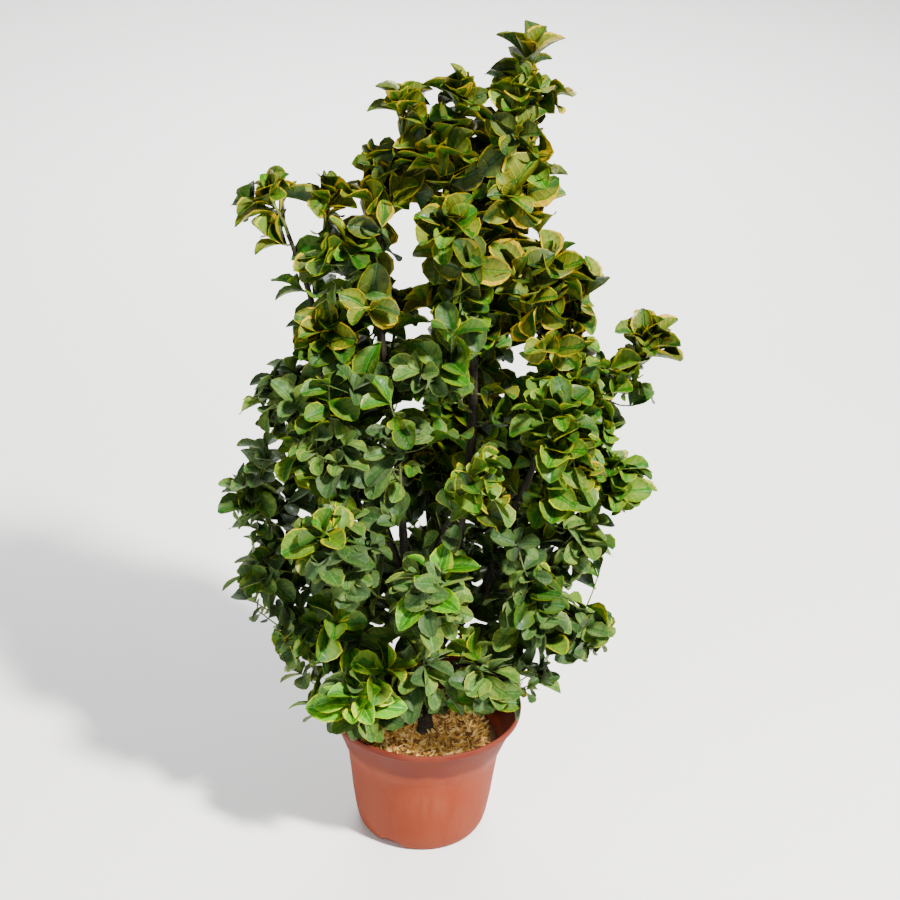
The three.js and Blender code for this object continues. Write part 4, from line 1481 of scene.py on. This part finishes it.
def bark_relief(seed, knots, path):
    """How a limb's radius swells and dips along it and round it, as a share"""
    span = path.length()

    def relief(share, turn):
        along_limb = share * span
        place = Vector((math.cos(turn) * 1.3, math.sin(turn) * 1.3, along_limb * 0.03 + seed))
        lumps = RELIEF["broad"] * noise.noise(place) + RELIEF["fine"] * noise.noise(place * 3.1)
        knot = RELIEF["knot"] * max(math.cos(along_limb / knots * math.tau), 0) ** 6
        collar = RELIEF["collar"] * math.exp(-along_limb / RELIEF["collar_length"]) if seed else 0
        return 1 + lumps + knot + collar

    return relief


def limb_mesh(name, limbs, names):
    """The bark of some limbs as one mesh"""
    parts = []
    for index, limb_name in enumerate(names):
        path, radius_at = limbs[limb_name]
        steps = max(8, round(path.length() / RING_SPACING))
        template = tube_template(LIMB_SIDES, steps)
        relief = bark_relief(0 if limb_name == "trunk" else index + 1, 42 + 5 * index, path)
        laid = along(template, path, steps, radius_at, relief)
        parts.append((template, laid * MM, 0))
    return joined(name, parts)


class SHRUB_OT_limbs(bpy.types.Operator):
    """Builds the bark of trunk, stems and boughs"""

    bl_idname = "shrub.limbs"
    bl_label = "Trunk and boughs"

    def execute(self, context):
        settings = context.scene.shrub_bark
        limbs = grow_limbs()
        bark = bark_material("old_bark", settings.old, settings.fissure, settings.pore, 90.0)
        for kind in ("trunk", "stem", "bough"):
            names = [limb.name for limb in LIMBS if limb.name.startswith(kind)]
            add_piece(limb_mesh(f"{kind}_bark", limbs, names), [bark], names)
        return {"FINISHED"}


def twig_mesh(twigs):
    """All the twigs as one mesh"""
    template = tube_template(TWIG_SIDES, TWIG_STEPS)
    parts = []
    for twig in twigs:
        thick, thin = twig.radii
        laid = along(template, twig.path, TWIG_STEPS, lambda share: thick + (thin - thick) * share)
        parts.append((template, laid * MM, 0))
    return joined("twigs", parts)


def side_of(place):
    """Whether a place is at the back of the crown, or at its left or right in front"""
    if place[1] > CROWN_MIDDLE[1]:
        return "back"
    return "left" if place[0] < CROWN_MIDDLE[0] else "right"


def leaf_mesh(family, side, leaves):
    """The leaves of one family on one side of the crown as one mesh"""
    templates = [leaf_template(LEAF_FORMS[family], shape) for shape in range(SHAPES)]
    parts = [
        (templates[leaf.shape], lay_leaf(templates[leaf.shape], leaf), leaf.tone * len(ZONES))
        for leaf in leaves
    ]
    return joined(f"leaves_{family}_{side}", parts)


class SHRUB_OT_crown(bpy.types.Operator):
    """Grows the twigs and leaves"""

    bl_idname = "shrub.crown"
    bl_label = "Twigs and leaves"

    def execute(self, context):
        settings = context.scene.shrub_bark
        twigs, leaves = grow_crown(grow_limbs())
        green = bark_material("green_bark", settings.young, settings.young_dark, settings.pore, 160.0)
        masses = [f"leaves_{mass.name}" for mass in MASSES]
        add_piece(twig_mesh(twigs), [green], masses)
        for family in TINT_CODES:
            materials = leaf_materials(family, getattr(context.scene, f"shrub_{family}"))
            own = [leaf for leaf in leaves if leaf.family == family]
            masses = [mass for mass in MASSES if mass.family == family]
            for side in ("left", "right", "back"):
                near = [leaf for leaf in own if side_of(leaf.root) == side]
                nodes = [f"leaves_{mass.name}" for mass in masses if side_of(mass.heart) == side]
                if near:
                    add_piece(leaf_mesh(family, side, near), materials, nodes)
        return {"FINISHED"}


# The lamps: name, kind, place, target, power and other traits

MIDDLE = (0, 0, 0.6)
BEAM = {"spot_size": math.radians(4.4), "spot_blend": 0.6, "shadow_soft_size": 0.03}
LAMPS = [
    ("key", "AREA", (2.0, -1.85, 3.75), MIDDLE, 760, {"size": 0.4, "color": (1.0, 0.97, 0.91)}),
    ("fill", "AREA", (-2.2, -2.6, 1.4), MIDDLE, 42, {"size": 2.2, "color": (0.93, 0.97, 1.0)}),
    ("back", "AREA", (-0.6, 2.8, 2.8), MIDDLE, 60, {"size": 2.0}),
    ("well", "SPOT", (0.2, -2.3, 1.85), (0.035, -0.04, 0.155), 230, BEAM),
    ("floor_wash", "AREA", (0, 4.5, 3.5), (0, 5.0, 0), 420, {"size": 3.5}),
]


def add_lamp(name, kind, location, target, power, traits):
    """A lamp that shines from one place to another"""
    data = bpy.data.lights.new(name, kind)
    data.energy = power
    for trait, value in traits.items():
        setattr(data, trait, value)
    turn = (Vector(target) - Vector(location)).to_track_quat("-Z", "Y").to_matrix().to_4x4()
    put_in_scene(name, data).matrix_world = Matrix.Translation(location) @ turn


# How far the camera looks down, how far aside and how far it is rolled, in degrees

CAMERA_ANGLES = (26.1, 0.6, 2.2)


def camera_turn():
    """The camera's axes as columns"""
    pitch, yaw, roll = (math.radians(angle) for angle in CAMERA_ANGLES)
    ahead = Vector((math.sin(yaw) * math.cos(pitch), math.cos(yaw) * math.cos(pitch), -math.sin(pitch)))
    right = Vector((math.cos(yaw), -math.sin(yaw), 0))
    up = right.cross(ahead)
    rolled_right = right * math.cos(roll) + up * math.sin(roll)
    rolled_up = up * math.cos(roll) - right * math.sin(roll)
    return Matrix((rolled_right, rolled_up, -ahead)).transposed()


class SHRUB_OT_stage(bpy.types.Operator):
    """Sets the floor, the light and the camera"""

    bl_idname = "shrub.stage"
    bl_label = "Stage"

    def execute(self, context):
        settings = context.scene.shrub_stage
        self.floor(settings)
        self.lights()
        self.camera(settings)
        return {"FINISHED"}

    def floor(self, settings):
        bm = bmesh.new()
        bmesh.ops.create_grid(bm, x_segments=1, y_segments=1, size=14)
        floor = put_in_scene("floor", mesh_from(bm, "floor"))
        material, _, _ = new_material("floor_paper", settings.floor_colour, 0.9, 0.1)
        floor.data.materials.append(material)

    def lights(self):
        for lamp in LAMPS:
            add_lamp(*lamp)
        world = bpy.data.worlds.new("pale_sky")
        bpy.context.scene.world = world
        world.use_nodes = True
        tree = world.node_tree
        sky = tree.nodes["Background"]
        sky.inputs["Color"].default_value = (0.95, 0.97, 1.0, 1)
        seen = node(tree, "ShaderNodeLightPath").outputs["Is Camera Ray"]
        tree.links.new(spread(tree, seen, 0, 1, 0.44, 0.9), sky.inputs["Strength"])

    def camera(self, settings):
        data = bpy.data.cameras.new("camera")
        data.lens = settings.lens
        data.sensor_width = 36
        data.clip_start = 0.05
        camera = put_in_scene("camera", data)
        camera.matrix_world = (
            Matrix.Translation((0, -settings.camera_distance, settings.camera_height))
            @ camera_turn().to_4x4()
        )
        bpy.context.scene.camera = camera


class SHRUB_PT_panel(bpy.types.Panel):
    """Lists the shrub's settings and the steps that build it"""

    bl_idname = "SHRUB_PT_panel"
    bl_label = "Shrub"
    bl_space_type = "VIEW_3D"
    bl_region_type = "UI"
    bl_category = "Shrub"

    def draw(self, context):
        for name in SETTINGS:
            group = getattr(context.scene, name)
            box = self.layout.box()
            box.label(text=name.replace("shrub_", "").capitalize())
            for setting in group.bl_rna.properties:
                if setting.identifier not in ("rna_type", "name"):
                    box.prop(group, setting.identifier)
        for step in STEPS:
            self.layout.operator(step.bl_idname)


SETTINGS = {
    "shrub_pot": PotSettings, "shrub_mulch": MulchSettings, "shrub_bark": BarkSettings,
    "shrub_stage": StageSettings, **{f"shrub_{family}": LeafTints for family in TINT_CODES},
}
STEPS = (SHRUB_OT_pot, SHRUB_OT_mulch, SHRUB_OT_limbs, SHRUB_OT_crown, SHRUB_OT_stage)
CLASSES = (
    PotSettings, MulchSettings, BarkSettings, LeafTints, StageSettings, *STEPS, SHRUB_PT_panel,
)


def register():
    for item in CLASSES:
        bpy.utils.register_class(item)
    for name, group in SETTINGS.items():
        setattr(bpy.types.Scene, name, bpy.props.PointerProperty(type=group))


def unregister():
    for name in SETTINGS:
        delattr(bpy.types.Scene, name)
    for item in reversed(CLASSES):
        bpy.utils.unregister_class(item)


def tint_families(scene):
    """Gives each family of leaves its colours"""
    for family, (*codes, gloss, dust) in TINT_CODES.items():
        tints = getattr(scene, f"shrub_{family}")
        for zone, code in zip(ZONES, codes):
            setattr(tints, zone, tint(code))
        tints.gloss = gloss
        tints.dust = dust


def main():
    register()
    tint_families(bpy.context.scene)
    bpy.ops.shrub.pot()
    bpy.ops.shrub.mulch()
    bpy.ops.shrub.limbs()
    bpy.ops.shrub.crown()
    bpy.ops.shrub.stage()


if __name__ == "__main__":
    main()
